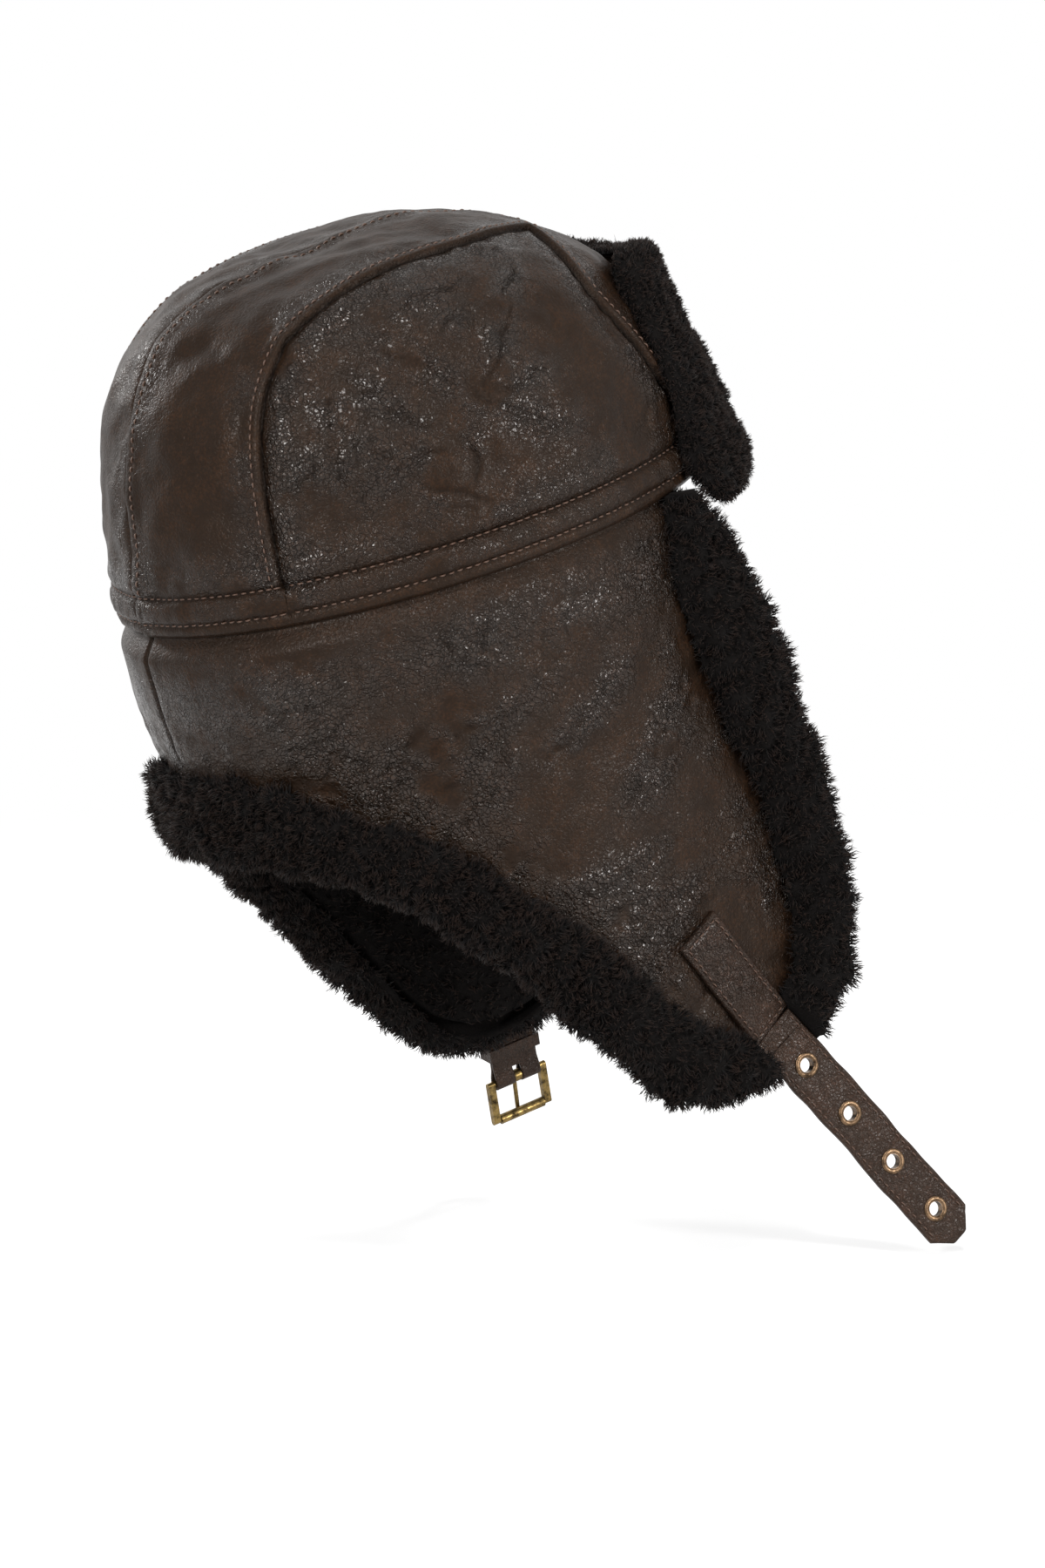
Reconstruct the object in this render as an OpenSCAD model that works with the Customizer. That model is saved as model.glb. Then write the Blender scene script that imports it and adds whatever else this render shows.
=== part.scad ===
// Trapper hat of sheepskin: hide outside, wool inside, turned-out wool edges, folding
// ear flaps and front flap, and a chin strap with a roller buckle.
// X points to the face, Y to the wearer's left and Z up. The origin is the middle of the
// hem's lower edge. The shapes are drawn square to the hem and tipped back as worn.

/* [Head opening] */
// Front-to-back radius of the hem
hem_a = 115.8; // [105:0.1:125]
// Side-to-side radius of the hem
hem_b = 93.1; // [86:0.1:100]
// Height of the stitched hem band
hem_h = 15; // [10:0.5:20]
// How far the hem bulges between its two rows of stitches
hem_bulge = 1; // [0:0.1:2]
// Backward tip of the hat on the head, in degrees
tilt = 16; // [0:1:25]

/* [Crown] */
// Height of the crown above the hem's lower edge
crown_h = 114; // [100:1:128]
// Squareness of the crown's outline at the sides
crown_power = 2.87; // [2.4:0.01:3.2]
// How much squarer the back is than the sides, and rounder the front
back_power = 1; // [0:0.05:1.2]
// Forward lean of the crown per millimetre of height
crown_lean = 0.167; // [0:0.001:0.22]
// Share by which the front flap presses the crown in
front_press = 0.08; // [0:0.01:0.12]

/* [Sheepskin] */
// Thickness of the hide
hide_t = 1.8; // [1.2:0.1:2.4]
// Depth of the wool lining
pile = 9; // [6:0.5:10]
// Air between the plies of one skin
ply_gap = 0.3; // [0.2:0.05:0.5]

/* [Neck guard and ear flaps] */
// How far the guard sits inside the hem
tuck = 2.2; // [2:0.1:3]
// Length of the guard that is tucked up behind the hem
tuck_h = 3; // [2:0.5:5]
// Forward flare of the ear flaps per millimetre of length
flare = 0.0022; // [0:0.0001:0.003]
// Thickness of the turned-out wool edge
cuff_t = 16; // [12:0.5:18]
// Share of that thickness at the middle of the back
cuff_back = 0.36; // [0.3:0.01:1]
// Sideways place of the line on which an ear flap folds, outside the guard
fold_out = 19; // [17.5:0.5:24]
// Height of that line below the hem
fold_drop = 11; // [9:0.5:16]
// Width of the cut that parts an ear flap from the neck guard
fold_cut = 0.6; // [0.4:0.1:1.2]

/* [Front flap] */
// Height of the turned-up front flap
visor_h = 83; // [70:1:95]
// Half of the angle that it covers at the hem
visor_half = 51; // [45:1:54]
// How much wider it is at the top, on each side
visor_fan = 1; // [0:1:10]
// Thickness of its wool
visor_pile = 9; // [7:0.5:12]
// Air between the flap and the crown
visor_gap = 0.5; // [0.4:0.1:1]

/* [Chin strap] */
// Width of the strap
strap_w = 20; // [16:0.5:22]
// Thickness of the strap
strap_t = 2.4; // [2:0.1:3]
// Length of the sewn end of the strap
sewn_l = 50; // [40:1:55]
// Forward lean of the right strap, in degrees
strap_lean = 25; // [15:1:30]
// Outward lean of the straps over the wool edge, in degrees
strap_out = 10; // [8:1:16]
// Length of strap between its sewn end and the place where it bends
lead_l = 30; // [28:0.5:34]
// First eyelet from the sewn end
eyelet_first = 20; // [16:0.5:22]
// Distance between eyelets
eyelet_pitch = 25; // [22:0.5:27]
// Number of eyelets
eyelet_n = 4; // [3:1:5]
// Eyelet hole diameter
eyelet_bore = 5.5; // [4:0.1:6]
// Eyelet flange diameter
eyelet_od = 9.5; // [8:0.1:11]
// Straight edge of the strap past the last eyelet
shoulder_l = 8; // [6:0.5:12]
// Length of the strap's blunt point
point_l = 7; // [4:0.5:10]

/* [Buckle] */
// Heel bar diameter
bar_d = 2.8; // [2.4:0.1:3.2]
// Heel bar to roller, centre to centre
buckle_l = 15.5; // [14:0.5:20]
// Width of the side bars
side_w = 3; // [2.5:0.1:4]
// Roller diameter
roller_d = 3.8; // [3.4:0.1:4.4]
// Prong diameter
prong_d = 1.7; // [1.4:0.1:2]
// Length of the buckle strap past the place where it bends
tab_l = 16; // [15:0.5:22]
// Width of the keeper loop
keeper_w = 5; // [4:0.5:6]
// Running clearance of bars in their loops, on the radius
run_gap = 0.08; // [0.05:0.01:0.1]

/* [Hidden] */

hide_colour = "#3a302a";
wool_colour = "#1c1714";
strap_colour = "#4a3b32";
brass_colour = "#8a7448";

// Places in the crown's map: a disk whose middle is the top of the head and whose rim, at
// 1, is the top of the hem. [1, 0] is the front and [0, 1] the wearer's right.
hem_ring = 0.15; // radial width that stands for the hem outside the rim
rim_out = 1 + hem_ring;
seam_rear = 139.5; // where the side panel's seam meets the hem, degrees from the front
seam_front = 45;
corner_rear = [-0.38, 0.342];
corner_front = [0.22, 0.285];
rear_leg = [on_rim(seam_rear, 1), [-0.71, 0.59], [-0.61, 0.488], [-0.5, 0.4], corner_rear];
top_leg = [corner_rear, [-0.2, 0.335], [0, 0.345], [0.13, 0.315], corner_front];
front_leg = [corner_front, [0.235, 0.4], [0.27, 0.53], [0.36, 0.6], [0.5, 0.66],
             on_rim(seam_front, 1)];
leg_rows = 6;
top_cols = 8;
hem_rows = 2;
centre_cols = 4;
lining_rim = 1 + hem_ring * (hem_h - tuck_h - ply_gap) / hem_h;

// Edge of the guard and the ear flap from the middle of the back to the temple, as
// [angle, depth] where the leather ends and [angle, depth] of the wool edge's outside.
EDGE = [
    [180, 53, 180, 78], [166, 50, 168, 80], [151, 57, 157, 83], [136, 72, 142, 90],
    [122, 91, 131.5, 106], [109, 121, 119, 131], [99, 146, 110, 156], [89, 179, 98, 192],
    [83, 195, 87, 215], [75, 196, 75.5, 216], [67, 183, 63, 196], [62, 147, 54, 158],
    [61.5, 118, 49, 118], [63.5, 70, 46.5, 72], [63, 34, 47, 34], [59, 6, 55, 6]
];
edge_steps = 2;
edge = smooth(EDGE, edge_steps);
edge_n = len(edge) - 1;
hide_share = 0.68; // how far the hide reaches under the wool edge
wall_rows = 7;
top_front = 57; // front end of the guard's upper edge, degrees from the front
skin_t = hide_t + ply_gap + pile;

// Fold line of the right ear flap and the slanting plane through it that parts the flap
fold_y = -(hem_b - tuck + fold_out);
fold_z = -fold_drop;

// Straps: places of the sewn ends' lower edges on the flaps, [forward, down]
sewn_end = [44, 197];
tab_end = [36, 197];
strap_lift = 0.9; // the strap's inner face above the leather at that edge
tongue_l = eyelet_first + (eyelet_n - 1) * eyelet_pitch + shoulder_l - lead_l;
bend_r = strap_t / 2;
bend_gap = 0.3; // air between the two lengths of a strap at its bend
sewn_gap = 0.4; // air between the sewn end and the free length below it
groove = 0.4; // air between a strap, or the leather below it, and the wool that it presses down
groove_up = 12; // how far up the sewn end the wool is pressed down
far = 700; // past every side of the hat

// Buckle
bar_r = bar_d / 2;
ply_t = strap_t / 2;
tab_r = bar_r + run_gap + ply_t;
frame_in = strap_w / 2 + 0.4;
bar_seat = 0.5; // how far the bars reach into the side bars
frame_t = 2.4;
axle_r = 0.95;
roller_clear = 0.4;
prong_ring_w = 3;
prong_side = 0.4; // air beside the prong's ring in its slot
slot_w = prong_ring_w + 2 * prong_side;
slot_up = 5;
keeper_t = 1.1;
keeper_room = strap_t;
keeper_at = 3.5; // middle of the keeper below the bend of the buckle strap
fn_round = 48;
fn_small = 24;

// ---------- curves and grids ----------

function on_rim(angle, r) = r * [cos(angle), sin(angle)];
function mix(a, b, f) = a * (1 - f) + b * f;
function pick(p, i) = p[max(0, min(len(p) - 1, i))];

// Catmull-Rom curve through the points p, n steps between each pair
function smooth(p, n) = [
    for (i = [0 : len(p) - 2], k = [0 : n - 1])
        let (t = k / n, a = pick(p, i - 1), b = p[i], c = p[i + 1], d = pick(p, i + 2))
            (2 * b + (c - a) * t + (2 * a - 5 * b + 4 * c - d) * t * t
             + (3 * b - a - 3 * c + d) * t * t * t) / 2,
    p[len(p) - 1]
];

// The curve through p cut into n equal shares of its parameter
function leg(p, n) = let (s = smooth(p, 8), m = len(s) - 1) [
    for (k = [0 : n]) let (f = m * k / n, i = min(m - 1, floor(f))) mix(s[i], s[i + 1], f - i)
];

// Coons patch between four edges: rows run from b to t, columns from l to r
function patch(l, r, b, t) = let (m = len(l) - 1, n = len(b) - 1) [
    for (j = [0 : m]) [
        for (i = [0 : n]) let (u = i / n, v = j / m)
            mix(b[i], t[i], v) + mix(l[j], r[j], u)
            - mix(mix(b[0], b[n], u), mix(t[0], t[n], u), v)
    ]
];

// Closed skin between two grids of points with the same rows and columns
module skin(outer, inner) {
    m = len(outer);
    n = len(outer[0]);
    k = m * n;
    rim = concat(
        [for (i = [0 : n - 2]) [i, i + 1]],
        [for (j = [0 : m - 2]) [j * n + n - 1, j * n + 2 * n - 1]],
        [for (i = [n - 1 : -1 : 1]) [(m - 1) * n + i, (m - 1) * n + i - 1]],
        [for (j = [m - 1 : -1 : 1]) [j * n, j * n - n]]
    );
    polyhedron(
        points = concat([for (row = outer) each row], [for (row = inner) each row]),
        faces = concat(
            [for (j = [0 : m - 2], i = [0 : n - 2]) let (a = j * n + i)
                each [[a, a + 1, a + n + 1], [a, a + n + 1, a + n]]],
            [for (j = [0 : m - 2], i = [0 : n - 2]) let (a = k + j * n + i)
                each [[a, a + n + 1, a + 1], [a, a + n, a + n + 1]]],
            [for (e = rim) each [[e[0], e[0] + k, e[1] + k], [e[0], e[1] + k, e[1]]]]
        ),
        convexity = 8
    );
}

// ---------- crown ----------

function power_at(phi) = crown_power - back_power * cos(phi);

// Share by which the crown narrows at map radius angle psi (0 at the hem, 90 on top)
function dome_share(phi, psi) =
    let (p = power_at(phi), c = cos(psi), s = sin(psi), k = pow(pow(c, p) + pow(s, p), -1 / p))
        [k * c - front_press * pow(max(0, cos(phi)), 4) * sin(2 * psi) * k * c, k * s];

// Point of the crown over place d of the map, inset below its surface
function crown_at(d, inset) =
    let (r = norm(d), phi = atan2(d.y, d.x), over = max(0, r - 1) / hem_ring,
         s = r < 1 ? dome_share(phi, 90 * (1 - r)) : [1, 0],
         rise = (crown_h - inset - hem_h) * s[1],
         out = inset > 0 ? -inset : hem_bulge * sin(180 * min(1, over)) - inset)
        [(hem_a + out) * s[0] * cos(phi) + crown_lean * rise,
         -(hem_b + out) * s[0] * sin(phi),
         hem_h * (1 - over) + rise];

function crown_grid(map, inset) = [for (row = map) [for (d = row) crown_at(d, inset)]];

// Arc of the rim from angle a to b at radius r, in n steps
function arc(a, b, r, n) = [for (i = [0 : n]) on_rim(mix(a, b, i / n), r)];

// Rows of arcs outside the rim, from radius r to the rim but without it
function hem_arcs(a, b, r, n) =
    [for (j = [0 : hem_rows - 1]) arc(a, b, mix(r, 1, j / hem_rows), n)];

// Map of the right side panel down to radius r
function side_map(r) = concat(
    hem_arcs(seam_rear, seam_front, r, top_cols),
    patch(leg(rear_leg, leg_rows), reverse(leg(front_leg, leg_rows)),
          arc(seam_rear, seam_front, 1, top_cols), leg(top_leg, top_cols))
);

function reverse(p) = [for (i = [len(p) - 1 : -1 : 0]) p[i]];

// The whole seam from the back of the hem over the top to the front of the hem
function seam_line() = concat(
    leg(rear_leg, leg_rows),
    [for (i = [1 : top_cols]) leg(top_leg, top_cols)[i]],
    [for (i = [1 : leg_rows]) leg(front_leg, leg_rows)[i]]
);

// Map of the right half of the centre panel
function centre_map(r) =
    let (s = seam_line(), n = len(s) - 1, mid = [for (i = [0 : n]) [mix(-1, 1, i / n), 0]],
         rear = arc(180, seam_rear, 1, centre_cols), front = arc(0, seam_front, 1, centre_cols))
        concat(
            hem_arcs(180, seam_rear, r, centre_cols),
            patch(mid, s, rear, front),
            reverse(hem_arcs(0, seam_front, r, centre_cols))
        );

module crown_hide(map) {
    color(hide_colour) skin(crown_grid(map, 0), crown_grid(map, hide_t));
}

module crown_wool(map) {
    top = hide_t + ply_gap;
    color(wool_colour) skin(crown_grid(map, top), crown_grid(map, top + pile));
}

// ---------- neck guard and ear flaps ----------

// Point of the guard's right half at angle phi and depth t, out beyond its outer face
function wall_at(phi, t, out) =
    let (a = (hem_a - tuck) * (phi < 90 ? 1 + flare * max(0, t) : 1) + out)
        [a * cos(phi), -(hem_b - tuck + out) * sin(phi), -t];

// The same, found by its forward place x
function wall_at_x(x, t, out) =
    wall_at(acos(x / ((hem_a - tuck) * (1 + flare * t) + out)), t, out);

// Place on the edge's row i, e = 0 where the leather ends and 1 at the wool edge's outside
function edge_at(i, e) = let (r = edge[i]) [mix(r[0], r[2], e), mix(r[1], r[3], e)];

// Grid of one face of the guard's right half, from its tucked edge down to its outline
function wall_grid(out) = [
    for (j = [0 : wall_rows]) [
        for (i = [0 : edge_n])
            let (low = edge_at(i, hide_share), top = [mix(180, top_front, i / edge_n), -tuck_h],
                 p = mix(top, low, j / wall_rows))
                wall_at(p[0], p[1], out)
    ]
];

// Cross-section of the wool edge: [share across, distance out] inside and outside
skin_side = [for (e = [0, 0.25, 0.5]) [e, ply_gap]];
cuff_inner = concat(skin_side, [[hide_share + 0.02, ply_gap]],
    [for (f = [0.33, 0.67, 1]) [hide_share + 0.02, -skin_t * f]]);
cuff_outer = [[-0.04, 4], [0.08, 0.75 * cuff_t], [0.4, cuff_t], [0.75, 0.9 * cuff_t],
              [1, 0.4 * cuff_t], [1.02, -0.3 * skin_t], [0.86, -0.85 * skin_t]];
back_thin = 3; // rows over which it stays thin behind
back_swell = 8; // rows over which it then swells to its full thickness

// Fullness of the wool edge on row i: thin at the middle of the back and at the temple
function cuff_full(i) = min(1, 0.55 + 0.15 * (edge_n - i),
    mix(cuff_back, 1, max(0, (i - back_thin) / back_swell)));

function cuff_grid(section) = [
    for (p = section) [
        for (i = [0 : edge_n])
            let (q = edge_at(i, p[0]), full = cuff_full(i),
                 out = p[1] > ply_gap ? ply_gap + (p[1] - ply_gap) * full : p[1])
                wall_at(q[0], q[1], out)
    ]
];

// Everything on the head's side of the fold plane, or on the flap's side
module fold_side(flap) {
    shift = fold_cut / 2;
    translate([0, fold_y, fold_z]) rotate([-45, 0, 0])
        translate([-far / 2, -far / 2, flap ? -far - shift : shift]) cube(far);
}

module guard_half() { skin(wall_grid(0), wall_grid(-hide_t)); }

module lining_half() {
    top = -hide_t - ply_gap;
    skin(wall_grid(top), wall_grid(top - pile));
}

module cuff_half() { skin(cuff_grid(cuff_outer), cuff_grid(cuff_inner)); }

module above_fold() { intersection() { children(); fold_side(false); } }
module below_fold() { intersection() { children(); fold_side(true); } }

// Behind or in front of the ear
module behind_ear() { intersection() { children(); translate([-far, -far / 2, -far / 2]) cube(far); } }
module before_ear() { intersection() { children(); translate([0, -far / 2, -far / 2]) cube(far); } }

module neck_guard() { color(hide_colour) above_fold() guard_half(); }
module neck_wool() { color(wool_colour) above_fold() lining_half(); }
module neck_cuff() { color(wool_colour) above_fold() behind_ear() cuff_half(); }
module temple_cuff() { color(wool_colour) above_fold() before_ear() cuff_half(); }
module ear_flap() { color(hide_colour) below_fold() guard_half(); }
module ear_wool() { color(wool_colour) below_fold() lining_half(); }

// Wool edge of a flap, pressed down under the strap that crosses it
module ear_cuff(lean, end) {
    color(wool_colour) below_fold() difference() {
        cuff_half();
        strap_at(lean, end)
            translate([-strap_w / 2 - groove, strap_lift + strap_t / 2 + groove - far, -far / 2])
                cube([strap_w + 2 * groove, far, far / 2 + groove_up]);
    }
}

// ---------- front flap ----------

// Crown's share and height angle at height z, by the same curve as dome_share
function share_at(phi, z) =
    let (p = power_at(phi), h = (z - hem_h) / (crown_h - hem_h), r = pow(1 - pow(h, p), 1 / p),
         s2 = 2 * h * r / (h * h + r * r))
        r * (1 - front_press * pow(max(0, cos(phi)), 4) * s2);

visor_clear = 52; // height above which the flap stands away from the crown
visor_slope = 0.003; // how fast it narrows above that height

function visor_at(phi, z, out) =
    let (zc = min(z, visor_clear),
         s = zc <= hem_h ? 1 : share_at(phi, zc) - visor_slope * max(0, z - visor_clear),
         lean = crown_lean * max(0, z - hem_h), o = out + hem_bulge + visor_gap)
        [(hem_a * s + o) * cos(phi) + lean, -(hem_b * s + o) * sin(phi), z];

visor_rows = 8;
visor_cols = 14;
visor_low = -2;
visor_lap = 5; // how far the outer side of its wool hangs lower
// Fullness of the flap's wool as [share of its height, share of its thickness]
visor_full = [[0, 1.6], [0.15, 1.4], [0.28, 1], [0.45, 0.55], [0.78, 0.5], [1, 0.8]];
visor_thin = 0.6; // share by which the wool thins out at the flap's edges

function visor_grid(out, grow, wool) = [
    for (j = [0 : visor_rows]) [
        for (i = [0 : visor_cols])
            let (v = j / visor_rows, u = 2 * i / visor_cols - 1,
                 z = mix(visor_low - (wool > 0 ? visor_lap : 0), visor_h, v),
                 half = visor_half + grow + visor_fan * pow(max(0, v - 0.3) / 0.7, 1.4),
                 edge = max(abs(u), abs(2 * v - 1)),
                 t = wool * lookup(v, visor_full) * (1 - visor_thin * pow(edge, 6)))
                visor_at(half * u, z + grow * (v - 0.5), out + t)
    ]
];

module visor_hide() { color(hide_colour) skin(visor_grid(hide_t, -2, 0), visor_grid(0, -2, 0)); }

module visor_wool() {
    low = hide_t + ply_gap;
    color(wool_colour) skin(visor_grid(low, 0, visor_pile), visor_grid(low, 0, 0));
}

// ---------- straps ----------

// Frame of a strap: origin in its middle plane at the lower end of its sewn part, -Z along
// it, X across it and -Y outwards
module strap_at(lean, end) {
    place = wall_at_x(end[0], end[1], strap_lift + strap_t / 2);
    translate(place) rotate([0, -lean, 0]) rotate([-strap_out, 0, 0]) children();
}

// Grid of one face of a sewn strap end, lying on the leather
function sewn_grid(lean, end, out) = [
    for (j = [0 : 5]) [
        for (i = [0 : 2])
            let (along = sewn_l * (1 - j / 5), across = strap_w * (i / 2 - 0.5))
                wall_at_x(end[0] - along * sin(lean) + across * cos(lean),
                          end[1] - along * cos(lean) - across * sin(lean), out)
    ]
];

module sewn_part(lean, end) {
    skin(sewn_grid(lean, end, ply_gap + strap_t), sewn_grid(lean, end, ply_gap));
}

// Flat strap from the sewn end to just short of the bend
module lead() {
    translate([-strap_w / 2, -strap_t / 2, -lead_l + bend_r + bend_gap])
        cube([strap_w, strap_t, lead_l - bend_r - bend_gap - sewn_gap]);
}

module across_rod(r, w) { rotate([0, 90, 0]) cylinder(r = r, h = w, center = true, $fn = fn_round); }

eyelet_barrel = 0.3; // thickness of the eyelet's tube
eyelet_tube = strap_t + 1; // how far the tube reaches behind the flange
washer_d = eyelet_od - 1;
washer_t = 0.5;
flange_round = 0.6; // height of the rolled flange, as a share of its width
cut_past = 1; // how far a cutting tool passes what it cuts

module eyelet_hole(z) {
    translate([0, 0, z]) rotate([90, 0, 0])
        cylinder(d = eyelet_bore + 2 * eyelet_barrel + 2 * run_gap, h = 3 * strap_t, center = true,
                 $fn = fn_round);
}

// Rolled flange on the outside and its tube through the strap
module eyelet(z) {
    r = eyelet_bore / 2;
    f = (eyelet_od / 2 - r) / 2;
    translate([0, -strap_t / 2 - run_gap, z]) rotate([90, 0, 0]) rotate_extrude($fn = fn_round) union() {
        intersection() {
            translate([r + f, 0]) scale([1, flange_round]) circle(r = f, $fn = fn_small);
            translate([r, 0]) square([2 * f, f]);
        }
        translate([r, -eyelet_tube]) square([eyelet_barrel, eyelet_tube + f * flange_round / 2]);
    }
}

module washer(z) {
    r = eyelet_bore / 2 + eyelet_barrel + run_gap;
    translate([0, strap_t / 2 + run_gap, z]) rotate([-90, 0, 0]) difference() {
        cylinder(d = washer_d, h = washer_t, $fn = fn_round);
        translate([0, 0, -cut_past]) cylinder(r = r, h = washer_t + 2 * cut_past, $fn = fn_round);
    }
}

function eyelet_z(i) = -eyelet_first - i * eyelet_pitch;
tongue_count = eyelet_n - 1;

module strap_base() {
    color(strap_colour) {
        sewn_part(strap_lean, sewn_end);
        strap_at(strap_lean, sewn_end) difference() {
            lead();
            eyelet_hole(eyelet_z(0));
        }
    }
}

module base_eyelet() { color(brass_colour) strap_at(strap_lean, sewn_end) eyelet(eyelet_z(0)); }
module base_washer() { color(brass_colour) strap_at(strap_lean, sewn_end) washer(eyelet_z(0)); }

module strap_tongue() {
    color(strap_colour) strap_at(strap_lean, sewn_end) difference() {
        translate([0, 0, -lead_l]) union() {
            across_rod(bend_r, strap_w);
            translate([0, strap_t / 2, 0]) rotate([90, 0, 0]) linear_extrude(strap_t)
                polygon([[-strap_w / 2, 0], [-strap_w / 2, -tongue_l],
                         [-strap_w / 6, -tongue_l - point_l], [strap_w / 6, -tongue_l - point_l],
                         [strap_w / 2, -tongue_l], [strap_w / 2, 0]]);
        }
        for (i = [1 : tongue_count]) eyelet_hole(eyelet_z(i));
    }
}

module tongue_eyelets() {
    color(brass_colour) strap_at(strap_lean, sewn_end) for (i = [1 : tongue_count]) eyelet(eyelet_z(i));
}

module tongue_washers() {
    color(brass_colour) strap_at(strap_lean, sewn_end) for (i = [1 : tongue_count]) washer(eyelet_z(i));
}

// ---------- buckle strap and buckle, drawn on the right and mirrored to the left ----------

module tab_at() { mirror([0, 1, 0]) strap_at(0, tab_end) children(); }
module buckle_at() { tab_at() translate([0, 0, -lead_l - tab_l]) children(); }

module tab_base() {
    color(strap_colour) {
        mirror([0, 1, 0]) sewn_part(0, tab_end);
        tab_at() lead();
    }
}

// Two plies folded round the heel bar, with a slot for the prong
module buckle_tab() {
    color(strap_colour) buckle_at() difference() {
        union() {
            translate([0, 0, tab_l]) across_rod(bend_r, strap_w);
            translate([-strap_w / 2, -strap_t / 2, 0]) cube([strap_w, strap_t, tab_l]);
            across_rod(tab_r, strap_w);
        }
        across_rod(bar_r + run_gap, strap_w + 2 * cut_past);
        translate([-slot_w / 2, -tab_r - cut_past, -tab_r - cut_past])
            cube([slot_w, 2 * (tab_r + cut_past), slot_up + tab_r + cut_past]);
    }
}

// Loop round the strap with room for the other end
module keeper() {
    color(strap_colour) tab_at() translate([0, 0, -lead_l - keeper_at]) difference() {
        x = strap_w / 2 + ply_gap;
        inner = strap_t / 2 + ply_gap;
        translate([-x - keeper_t, -inner - keeper_room - keeper_t, -keeper_w / 2])
            cube([2 * x + 2 * keeper_t, 2 * inner + keeper_room + 2 * keeper_t, keeper_w]);
        translate([-x, -inner - keeper_room, -keeper_w])
            cube([2 * x, 2 * inner + keeper_room, 2 * keeper_w]);
    }
}

module buckle_frame() {
    color(brass_colour) buckle_at() {
        across_rod(bar_r, 2 * (frame_in + bar_seat));
        translate([0, 0, -buckle_l]) across_rod(axle_r, 2 * (frame_in + bar_seat));
        for (s = [-1, 1]) translate([s * (frame_in + side_w / 2), 0, 0]) side_bar();
    }
}

module side_bar() {
    hull() {
        across_rod(frame_t / 2, side_w);
        translate([0, 0, -buckle_l]) across_rod(frame_t / 2, side_w);
    }
}

// Ring on the heel bar and a pin that bends out to lie on the roller
prong_ring_t = 0.9; // wall of the ring
prong_ring_r = bar_r + run_gap + prong_ring_t;
prong_lift = 0.1; // air between the prong and the roller
module buckle_prong() {
    tip = [0, -(roller_d + prong_d) / 2 - prong_lift, -buckle_l - roller_d / 2];
    root = [0, -prong_ring_r + prong_d * 0.3, -prong_ring_r + prong_d * 0.35];
    color(brass_colour) buckle_at() difference() {
        union() {
            across_rod(prong_ring_r, prong_ring_w);
            rod_between(root, tip, prong_d / 2);
            translate(tip) sphere(d = prong_d, $fn = fn_small);
        }
        across_rod(bar_r + run_gap, prong_ring_w + 2 * cut_past);
    }
}

// Round rod from a to b in the YZ plane
module rod_between(a, b, r) {
    d = b - a;
    translate(a) rotate([atan2(-d.y, d.z), 0, 0]) cylinder(r = r, h = norm(d), $fn = fn_small);
}

module buckle_roller() {
    color(brass_colour) buckle_at() translate([0, 0, -buckle_l]) difference() {
        across_rod(roller_d / 2, 2 * frame_in - 2 * roller_clear);
        across_rod(axle_r + run_gap, 2 * frame_in);
    }
}

// ---------- placing ----------

module worn() { rotate([0, -tilt, 0]) children(); }
module left() { mirror([0, 1, 0]) children(); }

side = side_map(rim_out);
centre = centre_map(rim_out);
side_lining = side_map(lining_rim);
centre_lining = centre_map(lining_rim);

worn() crown_hide(side);  // crown_side_right
worn() left() crown_hide(side);  // crown_side_left
worn() crown_hide(centre);  // crown_centre_right
worn() left() crown_hide(centre);  // crown_centre_left
worn() crown_wool(side_lining);  // crown_wool_side_right
worn() left() crown_wool(side_lining);  // crown_wool_side_left
worn() crown_wool(centre_lining);  // crown_wool_centre_right
worn() left() crown_wool(centre_lining);  // crown_wool_centre_left
worn() neck_guard();  // neck_guard_right
worn() left() neck_guard();  // neck_guard_left
worn() neck_wool();  // neck_wool_right
worn() left() neck_wool();  // neck_wool_left
worn() neck_cuff();  // neck_cuff_right
worn() left() neck_cuff();  // neck_cuff_left
worn() temple_cuff();  // temple_cuff_right
worn() left() temple_cuff();  // temple_cuff_left
worn() ear_flap();  // ear_flap_right
worn() left() ear_flap();  // ear_flap_left
worn() ear_wool();  // ear_wool_right
worn() left() ear_wool();  // ear_wool_left
worn() ear_cuff(strap_lean, sewn_end);  // ear_cuff_right
worn() left() ear_cuff(0, tab_end);  // ear_cuff_left
worn() visor_hide();
worn() visor_wool();
worn() strap_base();
worn() base_eyelet();
worn() base_washer();
worn() strap_tongue();
worn() tongue_eyelets();
worn() tongue_washers();
worn() tab_base();
worn() buckle_tab();
worn() keeper();
worn() buckle_frame();
worn() buckle_prong();
worn() buckle_roller();
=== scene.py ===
"""Trapper hat of sheepskin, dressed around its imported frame.

The hat's shapes are worked out in hat coordinates: millimetres, square to the hem, +X to the
face, -Y to the wearer's right, with the origin in the middle of the hem's lower edge. They are
tipped back and turned to metres when a mesh is made.
"""
import logging
from dataclasses import dataclass, field
from enum import Enum
from functools import partial
from typing import Callable, Optional, Sequence

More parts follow.
